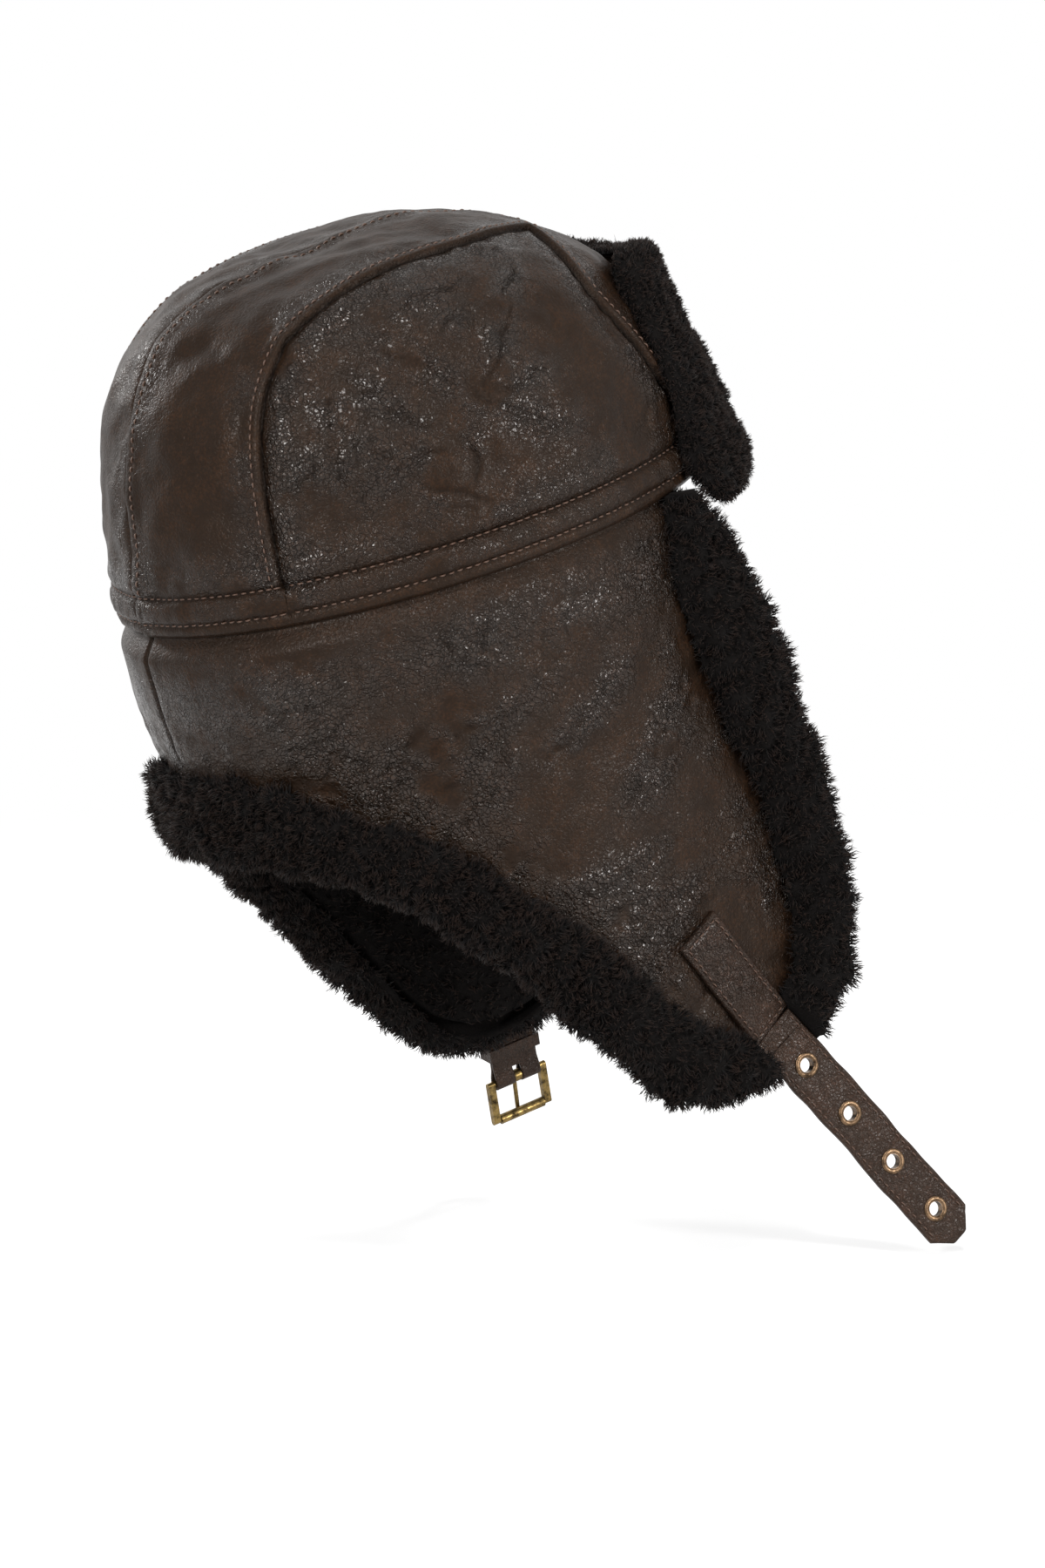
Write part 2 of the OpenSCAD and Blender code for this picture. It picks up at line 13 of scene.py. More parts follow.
import bpy
import numpy as np
from mathutils import Matrix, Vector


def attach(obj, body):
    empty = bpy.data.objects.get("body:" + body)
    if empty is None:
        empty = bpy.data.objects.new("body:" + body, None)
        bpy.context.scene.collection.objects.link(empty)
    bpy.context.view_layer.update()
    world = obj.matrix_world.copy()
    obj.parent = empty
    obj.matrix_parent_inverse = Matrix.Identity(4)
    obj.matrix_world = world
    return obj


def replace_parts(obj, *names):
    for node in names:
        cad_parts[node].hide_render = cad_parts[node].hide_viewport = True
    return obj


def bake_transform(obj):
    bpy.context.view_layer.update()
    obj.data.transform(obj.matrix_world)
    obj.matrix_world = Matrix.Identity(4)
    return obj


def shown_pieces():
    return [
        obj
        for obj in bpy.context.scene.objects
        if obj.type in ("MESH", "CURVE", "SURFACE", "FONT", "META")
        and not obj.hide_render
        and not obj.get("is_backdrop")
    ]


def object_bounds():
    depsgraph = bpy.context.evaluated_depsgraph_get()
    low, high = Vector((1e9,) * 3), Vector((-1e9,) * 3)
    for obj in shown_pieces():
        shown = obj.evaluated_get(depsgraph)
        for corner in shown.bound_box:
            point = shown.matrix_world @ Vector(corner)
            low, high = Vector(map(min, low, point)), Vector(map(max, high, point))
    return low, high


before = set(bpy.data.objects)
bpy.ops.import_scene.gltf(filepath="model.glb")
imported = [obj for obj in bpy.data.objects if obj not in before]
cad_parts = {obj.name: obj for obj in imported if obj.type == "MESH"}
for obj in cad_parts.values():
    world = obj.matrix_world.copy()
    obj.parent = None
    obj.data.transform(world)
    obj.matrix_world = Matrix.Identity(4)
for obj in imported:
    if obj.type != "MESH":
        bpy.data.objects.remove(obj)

Array = np.ndarray
Socket = bpy.types.NodeSocket
AddNode = Callable[..., bpy.types.Node]
CAD_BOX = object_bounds()
log = logging.getLogger("trapper_hat")


class Side(Enum):
    """Side of the wearer; the value is the sign that mirrors a right-hand shape."""

    RIGHT = 1
    LEFT = -1

    @property
    def word(self) -> str:
        """The side's name as it ends a piece's name."""
        return self.name.lower()

    @property
    def ear(self) -> str:
        """The body of this side's ear flap."""
        return f"ear_{self.word}"


# ---------- numbers ----------


def catmull(points: Sequence[Sequence[float]], s: Array) -> Array:
    """Catmull-Rom curve through points.

    Args:
        points: The points that it passes.
        s: Places along it, where 1 is the second point.

    Returns:
        One row for each place.
    """
    p = np.asarray(points, float)
    i = np.clip(np.floor(s).astype(int), 0, len(p) - 2)
    t = (np.asarray(s, float) - i)[..., None]
    a, b, c, d = (p[np.clip(i + k, 0, len(p) - 1)] for k in (-1, 0, 1, 2))
    return (2 * b + (c - a) * t + (2 * a - 5 * b + 4 * c - d) * t**2 + (3 * b - a - 3 * c + d) * t**3) / 2


def mix(a: Array, b: Array, f: Array) -> Array:
    """a where f is 0, b where it is 1."""
    return a * (1 - f) + b * f


def unit(v: Array) -> Array:
    """Vectors at length 1."""
    return v / np.maximum(np.linalg.norm(v, axis=-1, keepdims=True), 1e-12)


def bell(x: Array, width: float) -> Array:
    """Bell curve, 1 at 0 and 0.37 at width."""
    return np.exp(-((x / width) ** 2))


def eased(x: Array, low: float, high: float) -> Array:
    """0 up to low, 1 past high, and smooth between."""
    t = np.clip((x - low) / (high - low), 0, 1)
    return t * t * (3 - 2 * t)


def ripple(p: Array, wavelength: float, seed: int, stretch: Sequence[float] = (1, 1, 1)) -> Array:
    """Soft random unevenness: the sum of plane waves in random directions.

    Args:
        p: Points, in millimetres.
        wavelength: Mean distance between crests.
        seed: Picks the pattern.
        stretch: How much longer the pattern is along X, Y and Z.

    Returns:
        One value for each point, mostly within -1 to 1.
    """
    rng = np.random.default_rng(seed)
    waves = 22
    way = unit(rng.normal(size=(waves, 3))) / np.asarray(stretch, float)
    turns = way * rng.uniform(0.7, 1.4, (waves, 1)) / wavelength
    phase = rng.uniform(0, 2 * np.pi, waves)
    return np.cos(2 * np.pi * (p @ turns.T) + phase).sum(-1) * np.sqrt(2 / waves) * 0.6


def ripples(p: Array, waves: Sequence[Sequence[float]], seed: int) -> Array:
    """Unevenness of several sizes: each wave is its height, its wavelength and, if any, its stretch."""
    return sum(high * ripple(p, long, seed + i, way or (1, 1, 1))
               for i, (high, long, *way) in enumerate(waves))


def grid_normals(p: Array) -> Array:
    """Normals of a grid of points, by the cross product of its rows' and columns' directions."""
    return unit(np.cross(np.gradient(p, axis=1), np.gradient(p, axis=0)))


def gathered(n: int, share: float = 0.5) -> Array:
    """n + 1 values from 0 to 1 that gather at both ends, by a share of a cosine."""
    u = np.linspace(0, 1, n + 1)
    return mix(u, 0.5 - 0.5 * np.cos(np.pi * u), share)


@dataclass
class Track:
    """A line of points with its length, which seams and stitches follow."""

    points: Array

    @property
    def length(self) -> Array:
        """Length from the start to each point."""
        steps = np.linalg.norm(np.diff(self.points, axis=0), axis=1)
        return np.concatenate([[0], np.cumsum(steps)])

    def nearest(self, p: Array) -> tuple[Array, Array]:
        """Distance from each point to the line, and the place along it.

        Args:
            p: The points.

        Returns:
            The distances and the lengths along the line.
        """
        flat = p.reshape(-1, 3)
        gap, at = np.empty(len(flat)), np.empty(len(flat), int)
        for i in range(0, len(flat), 4096):
            d = ((flat[i:i + 4096, None] - self.points[None]) ** 2).sum(-1)
            at[i:i + 4096] = d.argmin(1)
            gap[i:i + 4096] = np.sqrt(d.min(1))
        return gap.reshape(p.shape[:-1]), self.length[at].reshape(p.shape[:-1])

    def at(self, lengths: Array) -> Array:
        """Points at these lengths along the line."""
        return np.stack([np.interp(lengths, self.length, self.points[:, k]) for k in range(3)], -1)


# ---------- the hat's forms ----------


@dataclass(frozen=True)
class HatForm:
    """Sizes and surfaces of the hat, in hat coordinates."""

    hem_a: float = 115.8
    hem_b: float = 93.1
    hem_h: float = 15.0
    hem_bulge: float = 1.0
    hem_ring: float = 0.15
    tilt: float = 16.0
    crown_h: float = 114.0
    crown_power: float = 2.87
    back_power: float = 1.0
    crown_lean: float = 0.167
    front_press: float = 0.08
    hide_t: float = 1.8
    pile: float = 9.0
    ply_gap: float = 0.3
    tuck: float = 2.2
    tuck_h: float = 3.0
    flare: float = 0.0022
    top_front: float = 57.0
    fold_y: float = 109.9
    fold_z: float = -11.0

    def worn(self, p: Array) -> Array:
        """Hat coordinates to the frame: tipped back and in metres.

        Args:
            p: Points in hat coordinates.

        Returns:
            The points in the frame.
        """
        a = np.radians(self.tilt)
        x, y, z = p[..., 0], p[..., 1], p[..., 2]
        return np.stack([x * np.cos(a) - z * np.sin(a), y, x * np.sin(a) + z * np.cos(a)], -1) / 1000

    def crown(self, place: Array, out: Array = 0.0) -> Array:
        """Crown over a place of its map, a disk whose middle is the top and whose rim is the hem's top.

        The outline in each upright half-plane is a superellipse; below the rim the hem runs down.

        Args:
            place: Places in the map.
            out: Distance outside the hide.

        Returns:
            The points.
        """
        r, phi = np.hypot(place[..., 0], place[..., 1]), np.arctan2(place[..., 1], place[..., 0])
        over = np.maximum(0, r - 1) / self.hem_ring
        up = np.radians(90 * (1 - np.minimum(r, 1)))
        c, s = np.maximum(np.cos(up), 0), np.sin(up)
        p = self.crown_power - self.back_power * np.cos(phi)
        k = (c**p + s**p) ** (-1 / p)
        share = k * c * (1 - self.front_press * np.maximum(0, np.cos(phi)) ** 4 * np.sin(2 * up))
        rise = (self.crown_h + out - self.hem_h) * k * s
        o = out + self.hem_bulge * np.sin(np.pi * np.minimum(1, over))
        return np.stack([(self.hem_a + o) * share * np.cos(phi) + self.crown_lean * rise,
                         -(self.hem_b + o) * share * np.sin(phi),
                         self.hem_h * (1 - over) + rise], -1)

    def crown_normal(self, place: Array) -> Array:
        """Outward normals of the crown, from two small steps in its map.

        Args:
            place: Places in the map.

        Returns:
            One unit vector for each place.
        """
        e = 1e-3
        du = self.crown(place + [e, 0]) - self.crown(place - [e, 0])
        dv = self.crown(place + [0, e]) - self.crown(place - [0, e])
        n = unit(np.cross(dv, du))
        middle = np.array([self.crown_lean * 50, 0, 30])
        return n * np.sign(((self.crown(place) - middle) * n).sum(-1, keepdims=True))

    def wall(self, phi: Array, t: Array, out: Array = 0.0) -> Array:
        """Neck guard and ear flap: an upright oval that flares forward below the hem.

        Args:
            phi: Angle from the front towards the wearer's right, in degrees.
            t: Depth below the hem.
            out: Distance outside the hide.

        Returns:
            The points.
        """
        a = (self.hem_a - self.tuck) * np.where(phi < 90, 1 + self.flare * np.maximum(0, t), 1) + out
        f = np.radians(phi)
        b = self.hem_b - self.tuck + out
        return np.stack(np.broadcast_arrays(a * np.cos(f), -b * np.sin(f), -t), -1).astype(float)

    def wall_at_x(self, x: Array, t: Array, out: Array = 0.0) -> Array:
        """The same surface, found by its forward place."""
        a = (self.hem_a - self.tuck) * (1 + self.flare * t) + out
        return self.wall(np.degrees(np.arccos(x / a)), t, out)


FORM = HatForm()
# Depth of a lining's pile that is left to its fibres.
FIBRE_ROOM = 2.5

# Outline of the guard and flap from the middle of the back to the temple: [angle, depth] where
# the leather ends and [angle, depth] of the wool edge's outside.
EDGE = [
    [180, 53, 180, 78], [166, 50, 168, 80], [151, 57, 157, 83], [136, 72, 142, 90],
    [122, 91, 131.5, 106], [109, 121, 119, 131], [99, 146, 110, 156], [89, 179, 98, 192],
    [83, 195, 87, 215], [75, 196, 75.5, 216], [67, 183, 63, 196], [62, 147, 54, 158],
    [61.5, 118, 49, 118], [63.5, 70, 46.5, 72], [63, 34, 47, 34], [59, 6, 55, 6],
]
EDGE_END = len(EDGE) - 1


def edge_at(s: Array, e: Array) -> tuple[Array, Array]:
    """Angle and depth across the wool edge, e = 0 at the leather's end and 1 at its outside."""
    row = catmull(EDGE, s)
    return mix(row[..., 0], row[..., 2], e), mix(row[..., 1], row[..., 3], e)


# Seam between the side panel and the centre panel, in the crown's map.
SEAM_REAR, SEAM_FRONT = 139.5, 45.0
CORNER_REAR, CORNER_FRONT = [-0.38, 0.342], [0.22, 0.285]


def on_rim(angle: Array, r: Array = 1.0) -> Array:
    """Place in the crown's map at an angle in degrees and radius r."""
    f = np.radians(angle)
    return np.stack(np.broadcast_arrays(r * np.cos(f), r * np.sin(f)), -1)


REAR_LEG = [on_rim(SEAM_REAR), [-0.71, 0.59], [-0.61, 0.488], [-0.5, 0.4], CORNER_REAR]
TOP_LEG = [CORNER_REAR, [-0.2, 0.335], [0, 0.345], [0.13, 0.315], CORNER_FRONT]
FRONT_LEG = [CORNER_FRONT, [0.235, 0.4], [0.27, 0.53], [0.36, 0.6], [0.5, 0.66], on_rim(SEAM_FRONT)]
LEG_ENDS = (0.3, 0.7)


def seam_map(v: Array) -> Array:
    """The whole seam in the crown's map, from the back rim at 0 over the top to the front at 1.

    Args:
        v: Shares of the seam's run.

    Returns:
        Places in the crown's map.
    """
    a, b = LEG_ENDS
    rear = catmull(REAR_LEG, np.clip(v / a, 0, 1) * (len(REAR_LEG) - 1))
    top = catmull(TOP_LEG, np.clip((v - a) / (b - a), 0, 1) * (len(TOP_LEG) - 1))
    front = catmull(FRONT_LEG, np.clip((v - b) / (1 - b), 0, 1) * (len(FRONT_LEG) - 1))
    return np.where((v < a)[..., None], rear, np.where((v < b)[..., None], top, front))


def coons(left: Array, right: Array, bottom: Array, top: Array, u: Array, v: Array) -> Array:
    """Patch between four edges: rows run from bottom to top at v, columns from left to right at u.

    Args:
        left: Edge points at each v, for u = 0.
        right: The same for u = 1.
        bottom: Edge points at each u, for v = 0.
        top: The same for v = 1.
        u: Shares across.
        v: Shares up.

    Returns:
        A grid of places, a row for each v.
    """
    a, b = u[None, :, None], v[:, None, None]
    corners = mix(mix(bottom[:1], bottom[-1:], u[:, None])[None], mix(top[:1], top[-1:], u[:, None])[None], b)
    return mix(bottom[None], top[None], b) + mix(left[:, None], right[:, None], a) - corners


# ---------- meshes ----------


def mesh_object(name: str, verts: Array, faces: Array,
                marks: Optional[dict[str, Array]] = None) -> bpy.types.Object:
    """Puts points of the hat and faces into a new smooth object.

    Args:
        name: The object's name.
        verts: Points in hat coordinates.
        faces: Rows of 3 or 4 indices, outward.
        marks: Values for each point, stored as named attributes.

    Returns:
        The object, at the origin.
    """
    mesh = bpy.data.meshes.new(name)
    sides = faces.shape[1]
    mesh.vertices.add(len(verts))
    mesh.vertices.foreach_set("co", FORM.worn(verts).astype(np.float32).ravel())
    mesh.loops.add(faces.size)
    mesh.loops.foreach_set("vertex_index", faces.astype(np.int32).ravel())
    mesh.polygons.add(len(faces))
    mesh.polygons.foreach_set("loop_start", np.arange(0, faces.size, sides, dtype=np.int32))
    mesh.update(calc_edges=True)
    mesh.polygons.foreach_set("use_smooth", np.full(len(faces), True))
    for key, values in (marks or {}).items():
        mark = mesh.attributes.new(key, "FLOAT", "POINT")
        mark.data.foreach_set("value", values.astype(np.float32).ravel())
    obj = bpy.data.objects.new(name, mesh)
    bpy.context.collection.objects.link(obj)
    return obj


def outward(verts: Array, faces: Array) -> Array:
    """Faces of a closed mesh, turned round if they enclose a negative volume.

    Args:
        verts: The points.
        faces: Rows of 3 or 4 indices, all turned alike.

    Returns:
        The faces, their normals outward.
    """
    a, b, c = (verts[faces[:, k]] for k in (0, 1, 2))
    volume = (a * np.cross(b, c)).sum()
    if faces.shape[1] == 4:
        volume += (a * np.cross(c, verts[faces[:, 3]])).sum()
    return faces[:, ::-1] if volume < 0 else faces


def grid_faces(rows: int, cols: int, wrap: bool = False) -> Array:
    """Quads of a grid of points; wrap joins the last column to the first.

    Args:
        rows: Rows of points.
        cols: Points in a row.
        wrap: Whether the rows are rings.

    Returns:
        Rows of 4 indices.
    """
    i = np.arange(rows * cols).reshape(rows, cols)
    j = np.concatenate([i, i[:, :1]], 1) if wrap else i
    return np.stack([j[:-1, :-1], j[:-1, 1:], j[1:, 1:], j[1:, :-1]], -1).reshape(-1, 4)


def mirrored(verts: Array, side: Side) -> Array:
    """Right-hand points moved to a side of the wearer."""
    return verts * [1, side.value, 1]


def skin(outer: Array, inner: Array) -> tuple[Array, Array]:
    """Closed shell between two grids of points: both faces and the rim between them.

    Args:
        outer: The outer face.
        inner: The inner face, of the same rows and columns.

    Returns:
        Points and faces.
    """
    rows, cols = outer.shape[:2]
    k = rows * cols
    i = np.arange(k).reshape(rows, cols)
    rim = np.concatenate([i[0, :-1], i[:-1, -1], i[-1, :0:-1], i[:0:-1, 0]])
    after = np.roll(rim, -1)
    faces = np.concatenate([grid_faces(rows, cols), grid_faces(rows, cols)[:, ::-1] + k,
                            np.stack([rim, rim + k, after + k, after], -1)])
    verts = np.concatenate([outer.reshape(-1, 3), inner.reshape(-1, 3)])
    return verts, outward(verts, faces)


def shell(name: str, outer: Array, inner: Array, side: Side, **marks: Array) -> bpy.types.Object:
    """Closed shell on a side of the wearer, from grids of the right-hand shape.

    Args:
        name: The object's name.
        outer: The outer face.
        inner: The inner face.
        side: The side that gets it.
        marks: Values for each point of a face, which both faces carry.

    Returns:
        The object.
    """
    verts, faces = skin(mirrored(outer, side), mirrored(inner, side))
    return mesh_object(name, verts, faces, {key: np.tile(m.ravel(), 2) for key, m in marks.items()})


def pillow(front: Array, back: Array) -> tuple[Array, Array]:
    """Closed body from rings: a tube of rows that wrap, closed at both ends by a fan of its own middle.

    Args:
        front: Rings from the middle of the front face out to the rim.
        back: Rings from the rim to the middle of the back face.

    Returns:
        Points and faces.
    """
    rings = np.concatenate([front, back])
    rows, cols = rings.shape[:2]
    verts = np.concatenate([rings.reshape(-1, 3), rings[:1].mean(1), rings[-1:].mean(1)])
    ends = []
    for row, middle in ((0, rows * cols), (rows - 1, rows * cols + 1)):
        ring = row * cols + np.arange(cols)
        pair = np.stack([ring, np.roll(ring, -1)], -1)
        pair = pair[:, ::-1] if row == 0 else pair
        # a quad of two ring edges and the middle closes the end with no loose triangle
        mid = np.full(cols // 2, middle)
        ends.append(np.stack([pair[::2, 0], pair[::2, 1], pair[1::2, 1], mid], -1) if row else
                    np.stack([pair[1::2, 0], pair[1::2, 1], pair[::2, 1], mid], -1))
    faces = np.concatenate([grid_faces(rows, cols, wrap=True), *ends])
    return verts, outward(verts, faces)


def vertex_normals(verts: Array, faces: Array) -> Array:
    """Area-weighted normals of the points of a mesh.

    Args:
        verts: The points.
        faces: Rows of 3 or 4 indices.

    Returns:
        One unit vector for each point.
    """
    n = np.cross(verts[faces[:, 2]] - verts[faces[:, 0]], verts[faces[:, -1]] - verts[faces[:, 1]])
    total = np.zeros_like(verts)
    for k in range(faces.shape[1]):
        np.add.at(total, faces[:, k], n)
    return unit(total)


# ---------- materials ----------


def linear(code: str) -> tuple[float, float, float, float]:
    """An sRGB hex colour as linear RGBA.

    Args:
        code: A hash and six hex digits.

    Returns:
        Red, green, blue and an alpha of 1.
    """
    s = np.array([int(code[i:i + 2], 16) for i in (1, 3, 5)]) / 255
    rgb = np.where(s <= 0.04045, s / 12.92, ((s + 0.055) / 1.055) ** 2.4)
    return (*rgb.tolist(), 1.0)


def per_metre(mm: float) -> float:
    """Scale of a pattern on metres whose cells are this many millimetres."""
    return 1000 / mm


def add_node(tree: bpy.types.NodeTree, kind: str, inputs: Optional[dict] = None,
             **settings: object) -> bpy.types.Node:
    """Adds a node.

    Args:
        tree: The node tree.
        kind: The node's type without its prefix, such as TexNoise.
        inputs: For each input's name or number, a value, or the socket or node that feeds it;
            a node does so with its first output.
        settings: Attributes to set.

    Returns:
        The node.
    """
    node = tree.nodes.new(f"ShaderNode{kind}")
    for key, value in settings.items():
        setattr(node, key, value)
    for key, value in (inputs or {}).items():
        source = value.outputs[0] if isinstance(value, bpy.types.Node) else value
        if isinstance(source, bpy.types.NodeSocket):
            tree.links.new(source, node.inputs[key])
        else:
            node.inputs[key].default_value = source
    return node


def new_tree(owner: bpy.types.Material | bpy.types.World) -> AddNode:
    """Empties the node tree of a material or world and returns what adds nodes to it.

    Args:
        owner: The material or world.

    Returns:
        A function that adds a node to the tree.
    """
    owner.use_nodes = True
    owner.node_tree.nodes.clear()
    return partial(add_node, owner.node_tree)


class Finish:
    """A surface's finish: a named material with a Principled shader."""

    name = ""

    def shade(self, add: AddNode, at: Socket) -> dict:
        """Adds the pattern's nodes and returns the shader's inputs."""
        raise NotImplementedError

    def build(self) -> bpy.types.Material:
        """The material, made once.

        Returns:
            The material.
        """
        material = bpy.data.materials.get(self.name)
        if not material:
            material = bpy.data.materials.new(self.name)
            add = new_tree(material)
            shader = add("BsdfPrincipled", self.shade(add, add("TexCoord").outputs["Object"]))
            add("OutputMaterial", {"Surface": shader})
        return material

    def dress(self, *objects: bpy.types.Object) -> None:
        """Puts the material on objects."""
        for obj in objects:
            obj.data.materials.clear()
            obj.data.materials.append(self.build())


@dataclass(frozen=True)
class NappaHide(Finish):
    """Nappa-finished sheepskin: a thin pigmented coat over fine grain.

    It is satin with a hazy gloss, and where the skin has creased the coat breaks into a net of
    fine cracks that glint. Reddish skin shows a little through the coat.
    """

    name: str = "nappa_sheepskin"
    coat: str = "#261b13"
    deep: str = "#1b120c"
    skin: str = "#382518"
    # Near-black colour painted as shade in the cracks, crease lines, seams and stitch rows.
    hollow: str = "#060403"
    grain_mm: float = 1.1
    grain_share: float = 0.3
    crease_mm: float = 1.6
    patch_mm: float = 26.0
    warp_mm: tuple[float, float] = (4.0, 3.0)
    mottle_mm: float = 9.0
    speck_mm: float = 0.9
    rough: tuple[float, float] = (0.32, 0.46)
    relief_mm: float = 0.4
    always: float = 0.08
    shine: float = 0.13
    glaze: float = 0.6
    glaze_rough: float = 0.18
    tint: str = "#ffeadb"

    def shade(self, add: AddNode, at: Socket) -> dict:
        """Grain of small cells, meandering creases in patches, mottled colour and gloss, with painted shade
        in the cracks, crease lines, seams and stitch rows.

        Args:
            add: Adds a node to the material.
            at: Object coordinates.

        Returns:
            The shader's inputs.
        """
        patch = add("TexNoise", {"Vector": at, "Scale": per_metre(self.patch_mm), "Detail": 3.0,
                                 "Roughness": 0.55})
        warp = add("TexNoise", {"Vector": at, "Scale": per_metre(self.warp_mm[0]), "Detail": 2.0})
        push = add("VectorMath", {0: warp.outputs["Color"], 1: (self.warp_mm[1] / 1000,) * 3, 2: at},
                   operation="MULTIPLY_ADD")
        grain = add("TexVoronoi", {"Vector": push, "Scale": per_metre(self.grain_mm), "Smoothness": 0.3},
                    feature="SMOOTH_F1")
        crack = add("TexVoronoi", {"Vector": push, "Scale": per_metre(self.crease_mm)},
                    feature="DISTANCE_TO_EDGE")
        net = add("MapRange", {"Value": crack, "From Max": 0.16}, interpolation_type="SMOOTHSTEP")
        tilt = add("TexNoise", {"Vector": push, "Scale": per_metre(self.crease_mm * 1.6), "Detail": 1.0})
        fold = add("TexNoise", {"Vector": push, "Scale": per_metre(self.crease_mm * 5), "Detail": 3.0,
                                "Distortion": 1.0})
        valley = add("Math", {0: add("Math", {0: fold, 1: 0.5}, operation="SUBTRACT")}, operation="ABSOLUTE")
        line = add("MapRange", {"Value": valley, "From Max": 0.05}, interpolation_type="SMOOTHSTEP")
        where = add("MapRange", {"Value": patch, "From Min": 0.36, "From Max": 0.52},
                    interpolation_type="SMOOTHSTEP")
        strain = add("Attribute", attribute_name="strain").outputs["Fac"]
        creased = add("Math", {0: where, 1: strain, 2: self.always}, operation="MULTIPLY_ADD", use_clamp=True)
        folds = add("Math", {0: line, 1: net}, operation="ADD")
        broken = add("Math", {0: tilt, 1: 1.6, 2: folds}, operation="MULTIPLY_ADD")
        depth = add("Math", {0: broken, 1: creased}, operation="MULTIPLY")
        height = add("Math", {0: grain, 1: -self.grain_share, 2: depth}, operation="MULTIPLY_ADD")
        bump = add("Bump", {"Strength": 1.0, "Distance": self.relief_mm / 1000, "Height": height})
        mottle = add("TexNoise", {"Vector": at, "Scale": per_metre(self.mottle_mm), "Detail": 4.0,
                                  "Roughness": 0.65})
        speck = add("TexNoise", {"Vector": at, "Scale": per_metre(self.speck_mm), "Detail": 2.0})
        reddish = add("Math", {0: mottle, 1: speck}, operation="MULTIPLY", use_clamp=True)
        share = add("MapRange", {"Value": reddish, "From Min": 0.22, "From Max": 0.5})
        ground = add("Mix", {"Factor": patch, 6: linear(self.deep), 7: linear(self.coat)},
                     data_type="RGBA").outputs[2]
        colour = add("Mix", {"Factor": share, 6: ground, 7: linear(self.skin)}, data_type="RGBA").outputs[2]
        gloss = add("MapRange", {"Value": creased, "To Min": self.rough[1], "To Max": self.rough[0]})
        # Painted shade: in creased patches the colour darkens to a near-black in the cracks and crease lines.
        crest = add("Math", {0: line, 1: net}, operation="MULTIPLY")
        flank = add("Math", {0: 1.0, 1: crest}, operation="SUBTRACT")
        crack_shade = add("Math", {0: flank, 1: 3.0}, operation="POWER")
        most = add("Math", {0: creased, 1: 0.6}, operation="MULTIPLY")
        crease_shade = add("Math", {0: crack_shade, 1: most}, operation="MULTIPLY")
        # Painted shade marked on the mesh: seams, stitch rows and crease bottoms.
        groove = add("Attribute", attribute_name="groove").outputs["Fac"]
        # dark is the painted shade: the shade of the cracks and crease lines or the shade marked on the mesh,
        # whichever is more.
        dark = add("Math", {0: crease_shade, 1: groove}, operation="MAXIMUM")
        proud = add("Math", {0: creased, 1: dark}, operation="SUBTRACT", use_clamp=True)
        return {"Base Color": add("Mix", {"Factor": dark, 6: colour, 7: linear(self.hollow)},
                                  data_type="RGBA").outputs[2],
                "Roughness": gloss, "Normal": bump, "IOR": 1.5, "Specular IOR Level": self.shine,
                "Specular Tint": linear(self.tint), "Coat IOR": 1.5, "Coat Normal": bump,
                "Coat Weight": add("Math", {0: proud, 1: self.glaze}, operation="MULTIPLY"),
                "Coat Roughness": self.glaze_rough}


@dataclass(frozen=True)
class StrapLeather(NappaHide):
    """Cowhide strap, nappa-finished and worn: duller than the hat, with a matt, rubbed grain."""

    name: str = "worn_cowhide_strap"
    coat: str = "#33251c"
    deep: str = "#231913"
    skin: str = "#452f23"
    grain_mm: float = 0.8
    crease_mm: float = 1.3
    rough: tuple[float, float] = (0.36, 0.5)
    relief_mm: float = 0.25
    always: float = 0.4
    glaze: float = 0.5
    glaze_rough: float = 0.24


@dataclass(frozen=True)
class WoolGround(Finish):
    """Sheared wool seen into its depth: matt, almost black, lighter where a lock stands up."""

    name: str = "sheared_wool_ground"
    root: str = "#060505"
    lock: str = "#120e0c"
    lock_mm: float = 2.4
    relief_mm: float = 0.9

    def shade(self, add: AddNode, at: Socket) -> dict:
        """Locks a few millimetres wide in colour and relief.

        Args:
            add: Adds a node to the material.
            at: Object coordinates.

        Returns:
            The shader's inputs.
        """
        lock = add("TexNoise", {"Vector": at, "Scale": per_metre(self.lock_mm), "Detail": 4.0,
                                "Roughness": 0.7})
        colour = add("Mix", {"Factor": lock, 6: linear(self.root), 7: linear(self.lock)}, data_type="RGBA")
        bump = add("Bump", {"Strength": 1.0, "Distance": self.relief_mm / 1000, "Height": lock})
        return {"Base Color": colour.outputs[2], "Roughness": 0.95, "Normal": bump,
                "Specular IOR Level": 0.15}


@dataclass(frozen=True)
class WoolFibre(Finish):
    """Curled wool fibres, dyed dark brown: near black at the root, sun-browned at the tip."""

    name: str = "curled_wool"
    root: str = "#050404"
    tip: str = "#150f0c"
    pale: str = "#35251d"

    def shade(self, add: AddNode, at: Socket) -> dict:
        """Colour along each fibre and from lock to lock.

        Args:
            add: Adds a node to the material.
            at: Not used; the colour follows the fibre.

        Returns:
            The shader's inputs.
        """
        along = add("Attribute", attribute_name="along").outputs["Fac"]
        tint = add("Attribute", attribute_name="tint").outputs["Fac"]
        near_tip = add("Math", {0: along, 1: 1.6}, operation="POWER")
        outer = add("Mix", {"Factor": tint, 6: linear(self.tip), 7: linear(self.pale)}, data_type="RGBA")
        colour = add("Mix", {"Factor": near_tip, 6: linear(self.root), 7: outer.outputs[2]}, data_type="RGBA")
        return {"Base Color": colour.outputs[2], "Roughness": 0.6, "IOR": 1.55,
                "Specular IOR Level": 0.12, "Sheen Weight": 0.03, "Sheen Roughness": 0.4}


